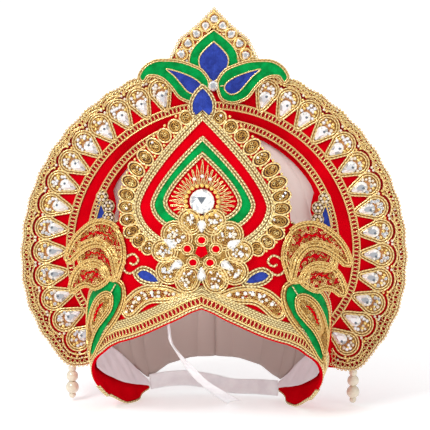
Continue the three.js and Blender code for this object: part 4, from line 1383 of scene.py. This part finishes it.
rim = Store(arcPoint)
flapTurns = [78, 82, 86, 88, 90, 92, 94, 96, 98, 101, 104, 108, 112, 116, 122, 128, 134.5, wallEnd]
for side in (-1, 1):
    flap = arcLine([(turn, flapEdge(turn) - 0.6) for turn in flapTurns], side)
    flap += [(side * (arcOf(wallEnd) + 0.5), height) for height in (10, 13.6)]
    for out in (0.4, 1.7):
        addCord(rim, evenly(flap, 1.3), out, 0.72, zari)
    addCord(rim, evenly(flap[:8], 1.3), 2.2, 0.8, zari)
    top = arcLine([(row["turn"], row["top"]) for row in wallSections[12:22]], side)
    addCord(rim, through(top, 1.3), front, 0.7, zari)
rim.piece("flapRim", "zari")
print("band")

crescentOuter = [(6.4, 99.3), (10.4, 102.7), (14.7, 105), (20.3, 105.9), (26.2, 104.9), (31.6, 101.5),
                 (36.1, 96.1), (39.5, 90.8), (40.3, 85.6), (38.5, 81.5), (35.4, 80.3), (32.1, 82.7),
                 (29.2, 87), (25.7, 91.3), (22.2, 93.3), (18.2, 93.7), (13.6, 94.9)]
crescentBeads = [(12.5, 100.2), (16, 100.8), (19.6, 100.9), (23, 100.2), (26.4, 98.2), (29.6, 95.4),
                 (32.4, 92.2)]
for side, name in handed:
    moon = Store(arcPoint)
    line = through(arcLine(crescentOuter, side), 1.3, True)
    doubleCord(moon, shifted(line, side * -0.9, True), front + 0.3, 0.66, True, 1.45, softCord)
    addPatch(moon, line, front + 0.3, brocade, cell=5)
    addCord(moon, shifted(line, side * -2.9, True), front + 0.9, 0.55, deepCord, True)
    curls(moon, shifted(line, side * -2.6, True), front + 0.6, 1.9, 0.9, 0.12)
    for at in arcLine(crescentBeads, side):
        shape, look = dice.choice(((smallPearl, pearl), (tinyGem, crystal)))
        stud(moon, shape, look, at, front + 1.7, 0, 1.1)
    moon.piece("crescent" + name.title(), "zari", "band_crescent_" + name)

scrollLine = [(48.3, 114.8), (52.5, 112.6), (56.6, 114.4), (57.6, 119.4), (54.8, 124.3), (49.6, 126.9),
              (46.1, 123.7), (47.2, 120.6), (50, 119.2), (52.3, 120.4)]
blueLine = [(29.2, 107.8), (33.5, 106.4), (38.9, 106.6), (44.6, 108.4), (48.2, 112.4), (45.6, 116),
            (41.1, 117.4), (35.2, 115.2), (31.2, 111.6)]
for side, name in handed:
    leaf = Store(frontPoint)
    line = through(sided(blueLine, side), 1.2, True)
    addPatch(leaf, line, front + 0.3, blueSatin, 1.0, cell=5)
    doubleCord(leaf, line, front + 0.2, 0.75, True)
    addCord(leaf, through(sided(scrollLine, side), 1.1), front + 0.9, 0.9, zari)
    leaf.piece("blueLeaf" + name.title(), "blue_satin", "blue_leaf_" + name)
print("leaves")

wingParts = [
    {"outer": [(103.9, 116.8), (101.3, 125.3), (96.5, 133), (90.4, 139.2), (83.7, 144.2), (76.2, 146.5),
               (68.5, 145.4), (62.5, 140.6), (58.8, 131.9), (58.4, 123.3), (60.7, 115.4), (62.8, 109.1)],
     "inner": [(64.1, 114.3), (66.7, 123.5), (71.6, 129.8), (77, 132.4), (84.1, 131.5), (90.8, 128.1),
               (97.2, 123.2)], "out": 1.4, "red": 0.3,
     "spine": [(67, 134), (73, 139), (80, 139.6), (87, 137), (93, 131.6)]},
    {"outer": [(92.4, 126.8), (86, 130.6), (79, 132), (72, 129.6), (67, 123.6), (64.4, 116), (64.4, 109.4)],
     "inner": [(72, 110), (73.6, 114.4), (78.6, 117), (84.4, 117), (90.5, 114.9), (93.2, 120.8)],
     "out": 1.0, "red": 0.35,
     "spine": [(68.6, 115), (71, 120.6), (76, 124), (83, 124.4), (89, 121.6)]},
    {"outer": [(100.5, 95), (99.3, 100.7), (96.5, 107.4), (91.3, 112.9), (84.6, 116.4), (78.4, 116.1),
               (74.1, 112.3), (72.6, 107.4)],
     "inner": [(78, 102.6), (82.5, 100.6), (84.9, 101.7), (90.1, 101.8), (95.7, 99.2)],
     "out": 1.2, "red": 0.3,
     "spine": [(77.4, 108), (82, 110.4), (87, 109.4), (92, 106)]},
]
for side, name in handed:
    wing = Store(wingPoint)
    for part in wingParts:
        line = through(sided(part["outer"] + part["inner"], side), 1.3, True)
        out = front + part["out"]
        addPatch(wing, line, out, brocade, cell=5)
        addPatch(wing, line, out - 0.9, redSatin, cell=9)
        doubleCord(wing, shifted(line, -side * 1.3, True), out + 0.1, 0.68, True, 1.5, deepCord)
        addCord(wing, shifted(line, -side * 3.4, True), out + 0.9, 0.5, deepCord, True)
        filling = shifted(line, -side * 3.9, True)
        curls(wing, filling, out + 0.4, 1.9, 0.4, 0.0, part["red"])
        spine = through(sided(part["spine"], side), 1.0)
        wave = [p + Vector((0, 0.7 * math.sin(i * 1.3))) for i, p in enumerate(spine)]
        addCord(wing, wave, out + 1.5, 0.5, redSatin, tips=0.4)
    wing.piece("wing" + name.title(), "zari", "wing_" + name)
print("wings")

paisleyOuter = [(67.5, 43.6), (71, 51.5), (74, 60), (75.8, 68), (76, 75), (74.6, 81.5), (71.4, 88),
                (67, 94), (61, 99.8), (54.9, 104), (48.6, 106.3), (43.2, 106.9), (39.9, 105.3),
                (38.3, 101.3), (38, 95.9), (39, 89.7), (40.8, 83.9), (43.6, 78), (46.5, 73.2),
                (50.4, 67.6), (54.3, 61.3), (57.9, 55.6), (62, 48.5)]
greenOuter = [(65.2, 46.1), (69.5, 55), (72.5, 64), (74, 70), (73.6, 77), (72, 82.9), (68.4, 89.8),
              (63.2, 96.4), (57.4, 101.1), (52, 104.2), (46.7, 105.4), (42.6, 104.2), (40.6, 101.5),
              (40.2, 96.7), (40.9, 91.8), (43.1, 86), (45.4, 80.7), (49.1, 74.6), (52.5, 69),
              (55.5, 63.5), (58.4, 57.4), (61.6, 51.2)]
dropOuter = [(66.4, 50), (63.8, 56.7), (60.7, 63), (56.8, 69.4), (52.9, 74.4), (49.8, 78.7),
             (46.6, 83.6), (45.1, 88.7), (44.9, 93.6), (46, 96.7), (49.2, 97.7), (52.6, 96.5),
             (56.5, 93.6), (60.4, 89.5), (64.2, 83.8), (67.2, 78.3), (69.6, 72.5), (72, 65),
             (72.2, 58), (69.6, 52)]
dropInner = [(63.9, 69.7), (62.9, 74.8), (60.9, 80.8), (57.3, 87.7), (53.4, 92.1), (49.2, 94.4),
             (47, 93.2), (47.2, 88.9), (49.8, 84.2), (53.3, 78.6), (57.2, 73.6), (60.8, 69.1)]
tailField = [(68.6, 68.5), (70.2, 61), (67.6, 54.4), (64, 62)]
splitLine = [(46.4, 97.2), (44.8, 100.2), (43.1, 103.8)]
spineLine = [(60.8, 73.4), (59, 78.1), (57.2, 82.1), (54.8, 85.7), (51.9, 89)]
for side, name in handed:
    paisley = Store(arcPoint)
    out = front + 1.4
    edge, green, drop, core = (through(arcLine(part, side), 1.3, True)
                               for part in (paisleyOuter, greenOuter, dropOuter, dropInner))
    addPatch(paisley, edge, out - 0.6, bullion, cell=5)
    addPatch(paisley, green, out, greenSatin, 0.9, cell=5)
    doubleCord(paisley, edge, out - 0.3, 0.64, True, 1.45, deepCord)
    addPatch(paisley, drop, out + 0.9, bullion, cell=5)
    doubleCord(paisley, shifted(drop, -side * 0.9, True), out + 0.7, 0.6, True, 1.45, deepCord)
    addCord(paisley, core, out + 1.4, 0.55, deepCord, True)
    curls(paisley, shifted(core, -side * 0.9, True), out + 1.0, 1.8, 0.4, 0.0)
    bulk(paisley, arcLine(tailField, side), out + 0.9, 1.4, 0.1)
    addCord(paisley, arcLine(splitLine, side), out + 1.4, 0.6, zari)
    spine = through(arcLine(spineLine, side), 1.0)
    wave = [p + Vector((0.9 * math.sin(i * 1.9), 0)) for i, p in enumerate(spine)]
    addCord(paisley, wave, out + 1.6, 1.0, redSatin, tips=0.4)
    paisley.piece("paisley" + name.title(), "green_satin", "paisley_" + name)
print("paisleys")

# pearl drops

dropAt = Vector((108.5, halo["y"] + 28 * lean))
dropBeads = [(3.2, 25.7), (4.6, 19.6), (5.1, 10.8), (2.7, 4.8)]  # radius and height
for side, name in handed:
    string = Store()
    x, y = side * dropAt.x, dropAt.y
    for radius, z in dropBeads:
        string.add(beadMesh(radius, 3), pearl, Matrix.Translation(Vector((x, y, z)) * mm))
    string.add(tubeMesh([Vector((x, y, z)) * mm for z in (2.4, 12, 22, 31)], 0.35), zari)
    string.piece("drop" + name.title(), "pearl", "drop_" + name)

bpy.data.objects.remove(tubeObject)
